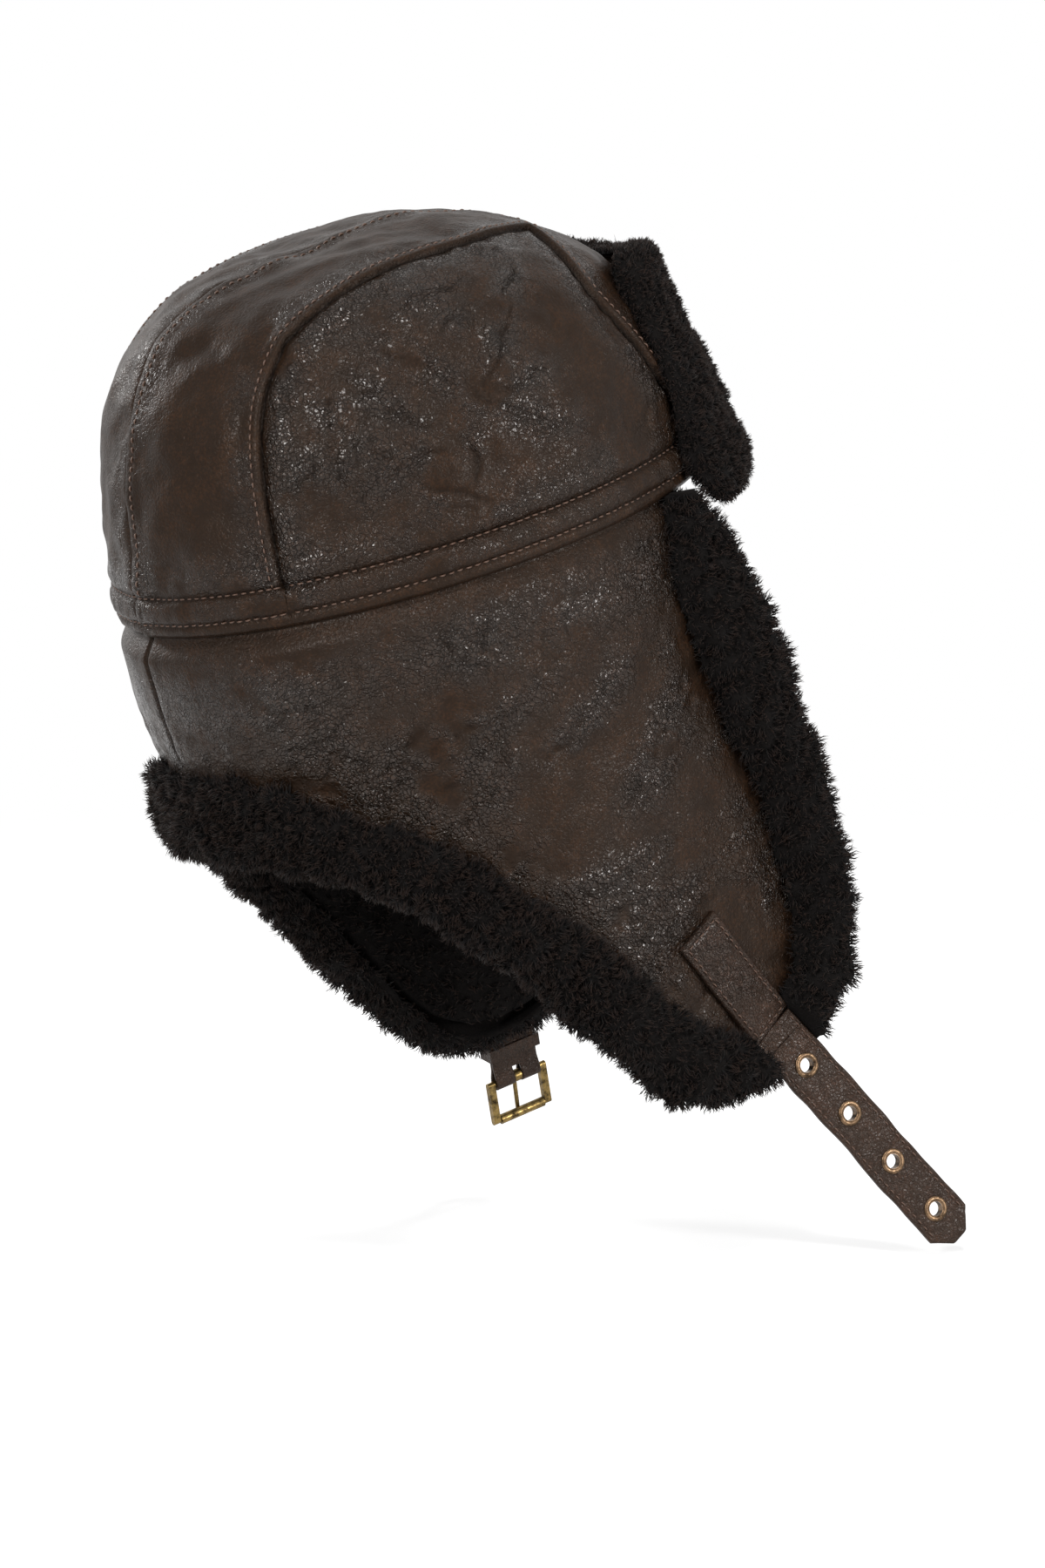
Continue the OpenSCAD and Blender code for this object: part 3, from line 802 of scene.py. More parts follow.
@dataclass(frozen=True)
class AntiqueBrass(Finish):
    """Brass with an antique patina: warm metal where it is rubbed, brown-black in the hollows."""

    name: str = "patinated_brass"
    bright: str = "#8f784a"
    patina: str = "#2b2317"
    blotch_mm: float = 3.5
    rough: tuple[float, float] = (0.28, 0.55)

    def shade(self, add: AddNode, at: Socket) -> dict:
        """Blotches of patina in colour, gloss and relief.

        Args:
            add: Adds a node to the material.
            at: Object coordinates.

        Returns:
            The shader's inputs.
        """
        blotch = add("TexNoise", {"Vector": at, "Scale": per_metre(self.blotch_mm), "Detail": 4.0,
                                  "Roughness": 0.7})
        share = add("MapRange", {"Value": blotch, "From Min": 0.4, "From Max": 0.66})
        colour = add("Mix", {"Factor": share, 6: linear(self.bright), 7: linear(self.patina)},
                     data_type="RGBA")
        gloss = add("MapRange", {"Value": share, "To Min": self.rough[0], "To Max": self.rough[1]})
        bump = add("Bump", {"Strength": 0.4, "Distance": 0.0001, "Height": blotch})
        return {"Base Color": colour.outputs[2], "Metallic": 1.0, "Roughness": gloss, "Normal": bump}


@dataclass(frozen=True)
class AgedBronze(AntiqueBrass):
    """Rolled bronze eyelets, browned by age and rubbed bright only on their crests."""

    name: str = "aged_bronze"
    bright: str = "#77604a"
    patina: str = "#231a13"


@dataclass(frozen=True)
class WaxedThread(Finish):
    """Waxed polyester thread: twisted, satin, a little lighter and redder than the hide."""

    name: str = "waxed_thread"
    light: str = "#654a3a"
    dark: str = "#3b2920"
    ply_mm: float = 0.6

    def shade(self, add: AddNode, at: Socket) -> dict:
        """Plies of the twist, as small light and dark patches.

        Args:
            add: Adds a node to the material.
            at: Object coordinates.

        Returns:
            The shader's inputs.
        """
        ply = add("TexNoise", {"Vector": at, "Scale": per_metre(self.ply_mm), "Detail": 2.0})
        colour = add("Mix", {"Factor": ply, 6: linear(self.dark), 7: linear(self.light)}, data_type="RGBA")
        return {"Base Color": colour.outputs[2], "Roughness": 0.5}


HIDE, STRAP, WOOL, FIBRE, BRASS, BRONZE, THREAD = (
    NappaHide(), StrapLeather(), WoolGround(), WoolFibre(), AntiqueBrass(), AgedBronze(), WaxedThread())


# ---------- stitches and fibres ----------


@dataclass(frozen=True)
class StitchRow:
    """A row of lockstitches: arched threads from hole to hole."""

    pitch: float = 3.4
    length: float = 2.7
    radius: float = 0.34
    arch: float = 0.36
    rings: int = 5
    sides: int = 6

    def sew(self, name: str, points: Array, normals: Array, side: Side = Side.RIGHT) -> bpy.types.Object:
        """Sews along a line on the surface.

        Args:
            name: The piece's name.
            points: The line, in hat coordinates, on the wearer's right.
            normals: Outward directions at those points.
            side: Side of the wearer that gets it.

        Returns:
            The object.
        """
        line = Track(points)
        count = int(line.length[-1] // self.pitch)
        middle = (np.arange(count) + 0.5) * line.length[-1] / count
        ahead = unit(line.at(middle + 0.4) - line.at(middle - 0.4))
        up = unit(np.stack([np.interp(middle, line.length, normals[:, k]) for k in range(3)], -1))
        across = unit(np.cross(up, ahead))
        t = np.linspace(-1, 1, self.rings)
        thick = self.radius * np.sqrt(np.maximum(1 - t**4, 0.12))
        turn = 2 * np.pi * np.arange(self.sides) / self.sides
        x = np.repeat(t * self.length / 2, self.sides)
        y = (thick[:, None] * np.cos(turn)).ravel()
        z = (thick[:, None] * np.sin(turn) + (self.arch * (1 - 2 * t**2))[:, None]).ravel()
        verts = (line.at(middle)[:, None] + x[None, :, None] * ahead[:, None]
                 + y[None, :, None] * across[:, None] + z[None, :, None] * up[:, None])
        tube = grid_faces(self.rings, self.sides, wrap=True)
        last = (self.rings - 1) * self.sides
        one = np.concatenate([tube, [[3, 2, 1, 0], [5, 4, 3, 0]],
                              np.array([[0, 1, 2, 3], [0, 3, 4, 5]]) + last])
        one = outward(verts[0], one)
        faces = (one[None] + (np.arange(count) * self.rings * self.sides)[:, None, None]).reshape(-1, 4)
        verts = mirrored(verts.reshape(-1, 3), side)
        obj = mesh_object(name, verts, faces if side is Side.RIGHT else faces[:, ::-1])
        THREAD.dress(obj)
        return obj


# A fibre is a three-sided spike with a ring of corners at its root and at its middle, and a tip.
MIDDLE = 0.55
SPIKE = np.array([tri for k, j in ((0, 1), (1, 2), (2, 0))
                  for tri in ([k, j, 3 + j], [k, 3 + j, 3 + k], [3 + k, 3 + j, 6])])


@dataclass(frozen=True)
class Pile:
    """Curled wool that stands on a surface, drawn together into locks."""

    density: float = 1.1
    length: float = 4.0
    radius: float = 0.23
    lock: float = 2.6
    gather: float = 0.6
    curl: float = 0.45
    wind: float = 4.5
    most: int = 14000

    def grow(self, name: str, verts: Array, faces: Array, seed: int) -> bpy.types.Object:
        """Grows fibres on the outer side of some faces.

        A fibre's middle line rises from its root along the normal, leans to the middle of its
        lock and winds once round itself. Each is a three-sided spike of two lengths.

        Args:
            name: The piece's name.
            verts: Points of the surface, in hat coordinates.
            faces: The quads that carry wool.
            seed: Picks the roots.

        Returns:
            The object.
        """
        rng = np.random.default_rng(seed)
        tri = np.concatenate([faces[:, [0, 1, 2]], faces[:, [0, 2, 3]]])
        a, b, c = (verts[tri[:, k]] for k in range(3))
        area = np.linalg.norm(np.cross(b - a, c - a), axis=1) / 2
        n = int(min(self.most, self.density * area.sum()))
        total = np.cumsum(area)
        normals = vertex_normals(verts, faces)

        def scatter(count: int) -> tuple[Array, Array]:
            """Random points of the surface with their normals.

            Args:
                count: How many.

            Returns:
                The points and the normals.
            """
            pick = np.searchsorted(total, rng.random(count) * total[-1])
            w = rng.random((count, 2))
            w = np.where(w.sum(1, keepdims=True) > 1, 1 - w, w)
            w = np.concatenate([1 - w.sum(1, keepdims=True), w], 1)[..., None]
            return (verts[tri[pick]] * w).sum(1), unit((normals[tri[pick]] * w).sum(1))

        root, up = scatter(n)
        heart, _ = scatter(max(4, int(total[-1] / self.lock**2)))
        near = np.empty(n, int)
        size = (heart**2).sum(1)
        for i in range(0, n, 2048):
            near[i:i + 2048] = (size - 2 * root[i:i + 2048] @ heart.T).argmin(1)
        tall = self.length * rng.uniform(0.75, 1.1, n)[:, None]
        tall = tall * rng.uniform(0.7, 1.25, len(heart))[near][:, None]
        lean = (heart[near] - root) * self.gather + rng.normal(0, 0.5, (n, 3))
        lean -= (lean * up).sum(1, keepdims=True) * up
        e1 = unit(np.cross(up, rng.normal(size=(n, 3))))
        e2 = np.cross(up, e1)
        rings = []
        for t, thick, corners in ((0.0, 1.0, 3), (MIDDLE, 0.85, 3), (1.0, 0.0, 1)):
            turn = self.wind * t
            wind = self.curl * ((np.cos(turn) - 1) * e1 + np.sin(turn) * e2)
            middle = root + up * tall * t * (1 - 0.12 * t) + lean * t**1.5 + wind
            for f in 2 * np.pi * np.arange(corners) / 3:
                rings.append(middle + self.radius * thick * (np.cos(f) * e1 + np.sin(f) * e2))
        tris = (SPIKE[None] + (np.arange(n) * 7)[:, None, None]).reshape(-1, 3)
        obj = mesh_object(name, np.stack(rings, 1).reshape(-1, 3), tris, {
            "along": np.tile([0, 0, 0, MIDDLE, MIDDLE, MIDDLE, 1], n),
            "tint": np.repeat(rng.random(n) * 0.6 + 0.4 * (near * 0.618 % 1), 7)})
        self.unwrap(obj, n)
        FIBRE.dress(obj)
        return obj

    @staticmethod
    def unwrap(obj: bpy.types.Object, n: int) -> None:
        """Gives each fibre its own small cell of the texture, root to tip.

        Args:
            obj: The fibres' object.
            n: How many fibres it has.
        """
        side = int(np.ceil(np.sqrt(n)))
        cell = np.stack([np.arange(n) % side, np.arange(n) // side], -1) / side
        corner = np.array([[0.1, 0.1], [0.5, 0.1], [0.9, 0.1], [0.1, 0.5], [0.5, 0.5], [0.9, 0.5],
                           [0.5, 0.9]])
        uv = cell[:, None] + corner[SPIKE.ravel()][None] / side
        layer = obj.data.uv_layers.new(name="OFBake")
        layer.uv.foreach_set("vector", uv.astype(np.float32).ravel())


# ---------- crown ----------


def worn_hide(p: Array, seed: int) -> Array:
    """Unevenness of soft hide, in millimetres: broad swells, dents and a few meandering wrinkles."""
    wrinkle = bell(ripple(p, 27, seed + 3), 0.17) * eased(ripple(p, 42, seed + 4), 0.05, 0.7)
    return ripples(p, ((0.9, 54), (0.5, 19), (0.12, 8)), seed) - 0.3 * wrinkle


# Creases worn into the hide: lines of [x, y] of the crown's map on its side panel, and lines of
# [angle, depth] on the neck guard and ear flap.
CROWN_CREASES = (
    ((-0.3, 0.365), (-0.255, 0.5), (-0.18, 0.615), (-0.095, 0.71), (0.03, 0.79), (0.26, 0.855)),
    ((-0.095, 0.71), (-0.06, 0.67), (-0.01, 0.61), (0.035, 0.545)),
    ((-0.08, 0.705), (-0.01, 0.705), (0.04, 0.705), (0.095, 0.685)),
    ((-0.435, 0.575), (-0.525, 0.575), (-0.59, 0.535)), ((-0.435, 0.575), (-0.455, 0.615), (-0.485, 0.675)),
    ((-0.435, 0.575), (-0.38, 0.645), (-0.33, 0.735)), ((-0.435, 0.575), (-0.4, 0.52), (-0.38, 0.47)),
    ((-0.51, 0.715), (-0.4, 0.715), (-0.26, 0.745), (-0.195, 0.77)),
    ((-0.34, 0.755), (-0.285, 0.82), (-0.22, 0.875), (-0.13, 0.935)),
    ((-0.185, 0.74), (-0.15, 0.79), (-0.165, 0.85), (-0.22, 0.875)),
    ((-0.215, 0.465), (-0.145, 0.455), (-0.07, 0.465), (-0.03, 0.45)),
    ((-0.135, 0.555), (-0.085, 0.525), (-0.03, 0.515)),
    ((-0.37, 0.47), (-0.325, 0.545), (-0.29, 0.64), (-0.23, 0.715)),
    ((0.075, 0.385), (0.08, 0.44), (0.055, 0.505), (-0.01, 0.55)),
)
GUARD_CREASES = (
    ((140, 63), (127, 58), (114, 52), (102, 49), (91, 44)), ((138, 66), (131, 59), (125, 52), (120, 45)),
    ((132, 71), (126, 63), (120, 57)), ((126, 78), (119, 70), (113, 64), (107, 56), (103, 49)),
    ((120, 86), (115, 79), (111, 71), (106, 59)), ((115, 86), (109, 72), (106, 59)),
    ((152, 29), (143, 30), (136, 30)), ((149, 44), (143, 44), (137, 40), (133, 33)),
    ((112, 30), (109, 22), (105, 15)), ((108, 30), (106, 22), (104, 14)), ((114, 13), (112, 21), (110, 25)),
    ((89, 105), (83, 91), (74, 73), (67, 58)), ((85, 104), (78, 90), (71, 76)),
    ((108, 122), (97, 123), (87, 121), (76, 117)), ((102, 133), (92, 132), (83, 136), (74, 133)),
    ((97, 144), (90, 146), (82, 145)), ((91, 165), (88, 152), (81, 145), (72, 140)),
    ((101, 73), (95, 67), (86, 57), (79, 43)),
)


@dataclass(frozen=True)
class Creases:
    """Creases that start shallow, are deepest in their middle and run out again."""

    lines: Sequence[Array]
    deep: float = 0.5
    wide: float = 1.2
    shoulder: float = 0.2

    def press(self, p: Array, seed: int) -> tuple[Array, Array, Array]:
        """What the creases do to a surface.

        Args:
            p: Points of the surface.
            seed: Picks how the creases wander.

        Returns:
            Relief in millimetres, the strain beside the creases, and the painted shade along each crease's
            bottom.
        """
        wander = p + 1.2 * np.stack([ripple(p, 12, seed + k) for k in range(3)], -1)
        relief, strain, groove = (np.zeros(p.shape[:-1]) for _ in range(3))
        for line in self.lines:
            track = Track(catmull(line, np.linspace(0, len(line) - 1, 16 * len(line))))
            gap, run = track.nearest(wander)
            share = np.sqrt(np.sin(np.pi * np.clip(run / track.length[-1], 0.02, 0.98)))
            relief += share * (self.shoulder * bell(gap - 2.8, 2.0) - self.deep * bell(gap, self.wide))
            strain = np.maximum(strain, share * bell(gap, 8))
            # painted shade along the bottom of each crease
            groove = np.maximum(groove, share * bell(gap, 0.9))
        return relief, strain, groove


@dataclass
class Crown:
    """Crown of two side panels and a centre panel in two halves, down to the stitched hem."""

    hem_rows: int = 26
    side_rows: int = 120
    side_cols: int = 225
    centre_rows: int = 330
    centre_cols: int = 50
    dip: float = 1.0
    lip: float = 1.4
    lip_fade: float = 9.0
    lip_stitch: float = 4.0
    ridge: float = 1.0
    ridge_stitch: float = 4.3
    hem_stitch: float = 5.2
    # Degrees of the rim that its stitches leave free beside the seams.
    seam_clear: float = 0.6
    middle_clear: float = 0.8
    stitch: StitchRow = StitchRow()
    lining: Pile = Pile(density=0.13, length=5.0, radius=0.38, lock=4.0)

    def __post_init__(self) -> None:
        """Finds the seams and the hem's run once."""
        self.seam = Track(FORM.crown(seam_map(np.linspace(0, 1, 900))))
        self.middle = Track(FORM.crown(np.stack([np.linspace(-1, 1, 500), np.zeros(500)], -1)))
        self.angles = np.linspace(0, 180, 721)
        self.rim_run = Track(FORM.crown(on_rim(self.angles))).length
        self.worn = {side: Creases([FORM.crown(np.array(line) * [side.value, 1]) for line in CROWN_CREASES])
                     for side in Side}

    def side_map(self) -> Array:
        """Net of the side panel: hem arcs, then the patch between the seam's legs.

        Returns:
            A grid of places in the crown's map.
        """
        u, v = gathered(self.side_cols, 0.4), gathered(self.side_rows, 0.8)
        h = np.linspace(0, 1, self.hem_rows)
        f = mix(SEAM_REAR, SEAM_FRONT, u)
        hem = on_rim(f[None], mix(1 + FORM.hem_ring, 1, h)[:, None])
        patch = coons(catmull(REAR_LEG, v * (len(REAR_LEG) - 1)),
                      catmull(FRONT_LEG, (1 - v) * (len(FRONT_LEG) - 1)),
                      on_rim(f), catmull(TOP_LEG, u * (len(TOP_LEG) - 1)), u, v)
        return np.concatenate([hem[:-1], patch])

    def centre_map(self) -> Array:
        """Net of the centre panel's right half, from the hem behind over the top to the front.

        Returns:
            A grid of places in the crown's map.
        """
        u = gathered(self.centre_cols, 0.85)
        v, h = np.linspace(0, 1, self.centre_rows), np.linspace(0, 1, self.hem_rows)
        rear, front = mix(180, SEAM_REAR, u), mix(0, SEAM_FRONT, u)
        out = mix(1 + FORM.hem_ring, 1, h)[:, None]
        middle = np.stack([mix(-1, 1, v), 0 * v], -1)
        patch = coons(middle, seam_map(v), on_rim(rear), on_rim(front), u, v)
        return np.concatenate([on_rim(rear[None], out)[:-1], patch, on_rim(front[None], out)[-2::-1]])

    def hem_profile(self, z: Array) -> Array:
        """Hem: pinched at both rows of stitches, full between them, its lower lip rolled in."""
        return (-1.0 * bell(z - FORM.hem_h, 1.4) - 0.9 * bell(z - self.hem_stitch, 1.2)
                + 0.5 * np.sin(np.pi * np.clip((z - self.hem_stitch) / (FORM.hem_h - self.hem_stitch), 0, 1))
                + 0.5 * bell(z - FORM.hem_h - 4.5, 3.0) - 1.3 * (1 - eased(z, -0.4, 1.8)))

    def shaped(self, place: Array, centre: bool, side: Side) -> tuple[Array, Array, Array, Array]:
        """Outer face over places of the map.

        Args:
            place: Places of the right half's map.
            centre: Whether they are of the centre panel.
            side: Side of the wearer, which has its own unevenness and middle seam.

        Returns:
            Points, normals, the strain that opens the grain, and the painted shade in the seams, stitch rows
            and creases.
        """
        base, normal = FORM.crown(place), FORM.crown_normal(place)
        gap, run = self.seam.nearest(base)
        z = base[..., 2]
        round_run = np.interp(np.degrees(np.arctan2(place[..., 1], place[..., 0])), self.angles, self.rim_run)
        pitch = 2 * np.pi / self.stitch.pitch
        d = worn_hide(base * [1, side.value, 1], 11) * eased(z, 10, 30) * eased(gap, 0, 12)
        d += self.hem_profile(z)
        d -= 0.2 * np.cos(pitch * round_run) * (bell(z - FORM.hem_h, 2) + bell(z - self.hem_stitch, 2))
        d += 0.35 * ripple(base, 9, 5, (1, 1, 3)) * bell(z - FORM.hem_h / 2 - 2.5, 9)
        strain = 0.5 * bell(z - FORM.hem_h - 7, 7) + 0.25 * bell(z - 10, 5)
        # Painted shade along both hem stitch rows and in the seam's ditch.
        groove = np.maximum(0.7 * bell(z - FORM.hem_h, 0.9), 0.6 * bell(z - self.hem_stitch, 0.8))
        groove = np.maximum(groove, bell(gap + (0.0 if centre else 0.4), 0.9))
        if centre:
            ditch = -self.dip + (self.dip + self.lip) * eased(gap, 0, 1.5)
            d += ditch - self.lip * eased(gap, 2.5, self.lip_fade)
            d -= 0.45 * bell(gap - self.lip_stitch, 0.7) * (1 + 0.4 * np.cos(pitch * run))
            across = np.abs(base[..., 1])
            if side is Side.RIGHT:
                d += -0.9 + 1.9 * eased(across, 0, 1.2) - self.ridge * eased(across, 3, 10)
                d -= 0.4 * bell(across - self.ridge_stitch, 0.7)
            else:
                d += -0.9 * bell(across, 1.5)
            strain = strain + 0.45 * bell(gap - 8, 6) + 0.3 * bell(across - 7, 6)
        else:
            d += -self.dip * bell(gap, 1.6) + 0.35 * bell(gap - 5, 3.5)
            d += 0.4 * bell(gap - 3, 6) * ripple(base, 8, 15)
            creases, beside, crease_shade = self.worn[side].press(base, 16)
            d += creases
            groove = np.maximum(groove, 0.8 * crease_shade)
            strain = strain + 0.95 * bell(gap - 5, 7) + 0.95 * beside
        return base + normal * d[..., None], normal, np.clip(strain, 0, 1), groove

    def panel(self, name: str, net: Array, centre: bool, side: Side) -> bpy.types.Object:
        """One panel of hide with its inner face.

        Args:
            name: The piece's name.
            net: Its grid of places in the map.
            centre: Whether it belongs to the centre panel.
            side: The side of the wearer.

        Returns:
            The piece.
        """
        outer, _, strain, groove = self.shaped(net, centre, side)
        obj = shell(name, outer, FORM.crown(net, -FORM.hide_t), side, strain=strain, groove=groove)
        HIDE.dress(obj)
        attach(obj, "hat")
        return obj

    def sew(self, name: str, net: Array, centre: bool, side: Side) -> None:
        """A row of stitches along a line of the map.

        Args:
            name: The piece's name.
            net: The line's places in the map.
            centre: Whether the stitches lie on the centre panel.
            side: The side of the wearer.
        """
        points, normals, _, _ = self.shaped(net, centre, side)
        obj = self.stitch.sew(name, points + normals * 0.05, normals, side)
        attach(obj, "hat")

    def off_seam(self, away: float) -> Array:
        """Line of the map beside the seam, on the centre panel, by corrections of a first guess.

        Args:
            away: Its distance from the seam in millimetres.

        Returns:
            The line's places in the map.
        """
        v = np.linspace(0.002, 0.998, 700)
        line = seam_map(v)
        ahead = np.gradient(line, axis=0)
        inward = unit(np.stack([ahead[:, 1], -ahead[:, 0]], -1))
        step = np.full(len(v), 0.03)
        for _ in range(4):
            gap, _ = self.seam.nearest(FORM.crown(line + inward * step[:, None]))
            step = step * away / np.maximum(gap, 1e-3)
        return line + inward * step[:, None]

    def linings(self) -> None:
        """Wool inside the crown: one dome, and fibres on its inner side."""
        top = -FORM.hide_t - FORM.ply_gap
        rim = 1 + FORM.hem_ring * (FORM.hem_h - FORM.tuck_h - FORM.ply_gap) / FORM.hem_h
        r, f = np.linspace(0.02, rim, 40), np.linspace(0, 360, 120, endpoint=False)
        net = on_rim(f[None], r[:, None])
        deep = FORM.crown(net, top - FORM.pile + FIBRE_ROOM)
        inward = -FORM.crown_normal(net)
        deep = deep + inward * ripples(deep, ((0.8, 16), (0.5, 6)), 41)[..., None]
        base = mesh_object("crown_lining", *pillow(FORM.crown(net, top), deep[::-1]))
        WOOL.dress(base)
        points = deep.reshape(-1, 3)
        quads = quads_outward(points, grid_faces(len(r), len(f), wrap=True), inward.reshape(-1, 3))
        pile = self.lining.grow("crown_lining_wool", points, quads, 71)
        for obj in (base, pile):
            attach(obj, "hat")
        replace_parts(base, "crown_wool_side_right", "crown_wool_side_left",
                    "crown_wool_centre_right", "crown_wool_centre_left")

    def build(self) -> None:
        """Panels, linings and stitching of the crown."""
        side_net, centre_net = self.side_map(), self.centre_map()
        for side in Side:
            side_panel = self.panel(f"crown_side_panel_{side.word}", side_net, False, side)
            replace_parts(side_panel, f"crown_side_{side.word}")
            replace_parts(self.panel(f"crown_centre_panel_{side.word}", centre_net, True, side),
                        f"crown_centre_{side.word}")
            lower = 1 + FORM.hem_ring * (1 - self.hem_stitch / FORM.hem_h)
            free = self.seam_clear
            for part, first, last, centre in (("back", 180 - self.middle_clear, SEAM_REAR + free, True),
                                              ("side", SEAM_REAR - free, SEAM_FRONT + free, False),
                                              ("front", SEAM_FRONT - free, self.middle_clear, True)):
                f = np.linspace(first, last, 400)
                for row, r in (("upper", 1.0), ("lower", lower)):
                    self.sew(f"hem_stitches_{part}_{row}_{side.word}", on_rim(f, r), centre, side)
            self.sew(f"panel_stitches_{side.word}", self.off_seam(self.lip_stitch), True, side)
        self.sew("centre_stitches", self.beside_middle(), True, Side.RIGHT)
        self.linings()
        log.info("crown built")

    def beside_middle(self) -> Array:
        """Line of the map at the stitches' distance from the middle seam.

        Returns:
            The line's places in the map.
        """
        line, e = np.linspace(-0.995, 0.995, 600), 0.01
        flat = np.stack([line, np.full(len(line), e)], -1)
        return np.stack([line, 1e-4 + self.ridge_stitch * e / np.abs(FORM.crown(flat)[:, 1])], -1)


def quads_outward(verts: Array, faces: Array, wanted: Array) -> Array:
    """Faces turned so that their normals agree with wanted directions of their points."""
    n = np.cross(verts[faces[:, 2]] - verts[faces[:, 0]], verts[faces[:, -1]] - verts[faces[:, 1]])
    return faces if (n * wanted[faces[:, 0]]).sum() > 0 else faces[:, ::-1]


# ---------- neck guard, ear flaps and their wool edge ----------


def across_fold(obj: bpy.types.Object, side: Side) -> None:
    """Finds the zone round the fold's plane for a piece between the hat and an ear flap, and bakes the
    piece's transform into its mesh; the piece is not bent.

    Args:
        obj: The piece.
        side: The side whose ear flap it reaches.
    """
    line = np.array([0, -FORM.fold_y, FORM.fold_z])
    up = np.array([0, 1, 1]) / np.sqrt(2)
    start, end = (FORM.worn(mirrored(line + up * k, side)) for k in (20, -38))
    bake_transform(obj)


@dataclass(frozen=True)
class StrapSeat:
    """Where a strap is sewn on: its frame has -Z along the strap, X across it and -Y outwards."""

    x: float
    down: float
    lean: float
    out: float = 10.0
    width: float = 20.0
    thick: float = 2.4
    lift: float = 0.9
    sewn: float = 50.0

    @property
    def turn(self) -> Array:
        """Rotation from the strap's frame to the hat's.

        Returns:
            The frame's axes as the columns of a matrix.
        """
        a, b = np.radians(-self.lean), np.radians(-self.out)
        ry = np.array([[np.cos(a), 0, np.sin(a)], [0, 1, 0], [-np.sin(a), 0, np.cos(a)]])
        rx = np.array([[1, 0, 0], [0, np.cos(b), -np.sin(b)], [0, np.sin(b), np.cos(b)]])
        return ry @ rx

    @property
    def origin(self) -> Array:
        """Middle of the strap at the sewn part's lower end."""
        return FORM.wall_at_x(np.array(self.x), np.array(self.down), self.lift + self.thick / 2)

    def to_hat(self, p: Array) -> Array:
        """Strap's frame to hat coordinates."""
        return p @ self.turn.T + self.origin

    def from_hat(self, p: Array) -> Array:
        """Hat coordinates to the strap's frame."""
        return (p - self.origin) @ self.turn

    @staticmethod
    def radial(p: Array) -> Array:
        """Level directions out of the flap's oval."""
        return unit(p * [1 / FORM.hem_a**2, 1 / FORM.hem_b**2, 0])

    def on_flap(self, across: Array, along: Array, out: Array) -> Array:
        """Point over the flap's leather, along being the height above the sewn part's lower end.

        Args:
            across: Place across the strap.
            along: Height above the sewn part's lower end.
            out: Distance from the leather.

        Returns:
            The points in hat coordinates.
        """
        a = np.radians(self.lean)
        p = FORM.wall_at_x(self.x - along * np.sin(a) + across * np.cos(a),
                           self.down - along * np.cos(a) - across * np.sin(a), 0.0)
        return p + self.radial(p) * (out + guard_relief(p))[..., None]


SEATS = {Side.RIGHT: StrapSeat(44, 197, 25), Side.LEFT: StrapSeat(36, 197, 0)}


def guard_relief(p: Array) -> Array:
    """Unevenness of the neck guard and ear flaps: long soft folds that hang, and dents."""
    return ripples(p, ((0.8, 60, 1, 1, 2), (0.3, 22)), 31) * eased(-p[..., 2], 2, 30)


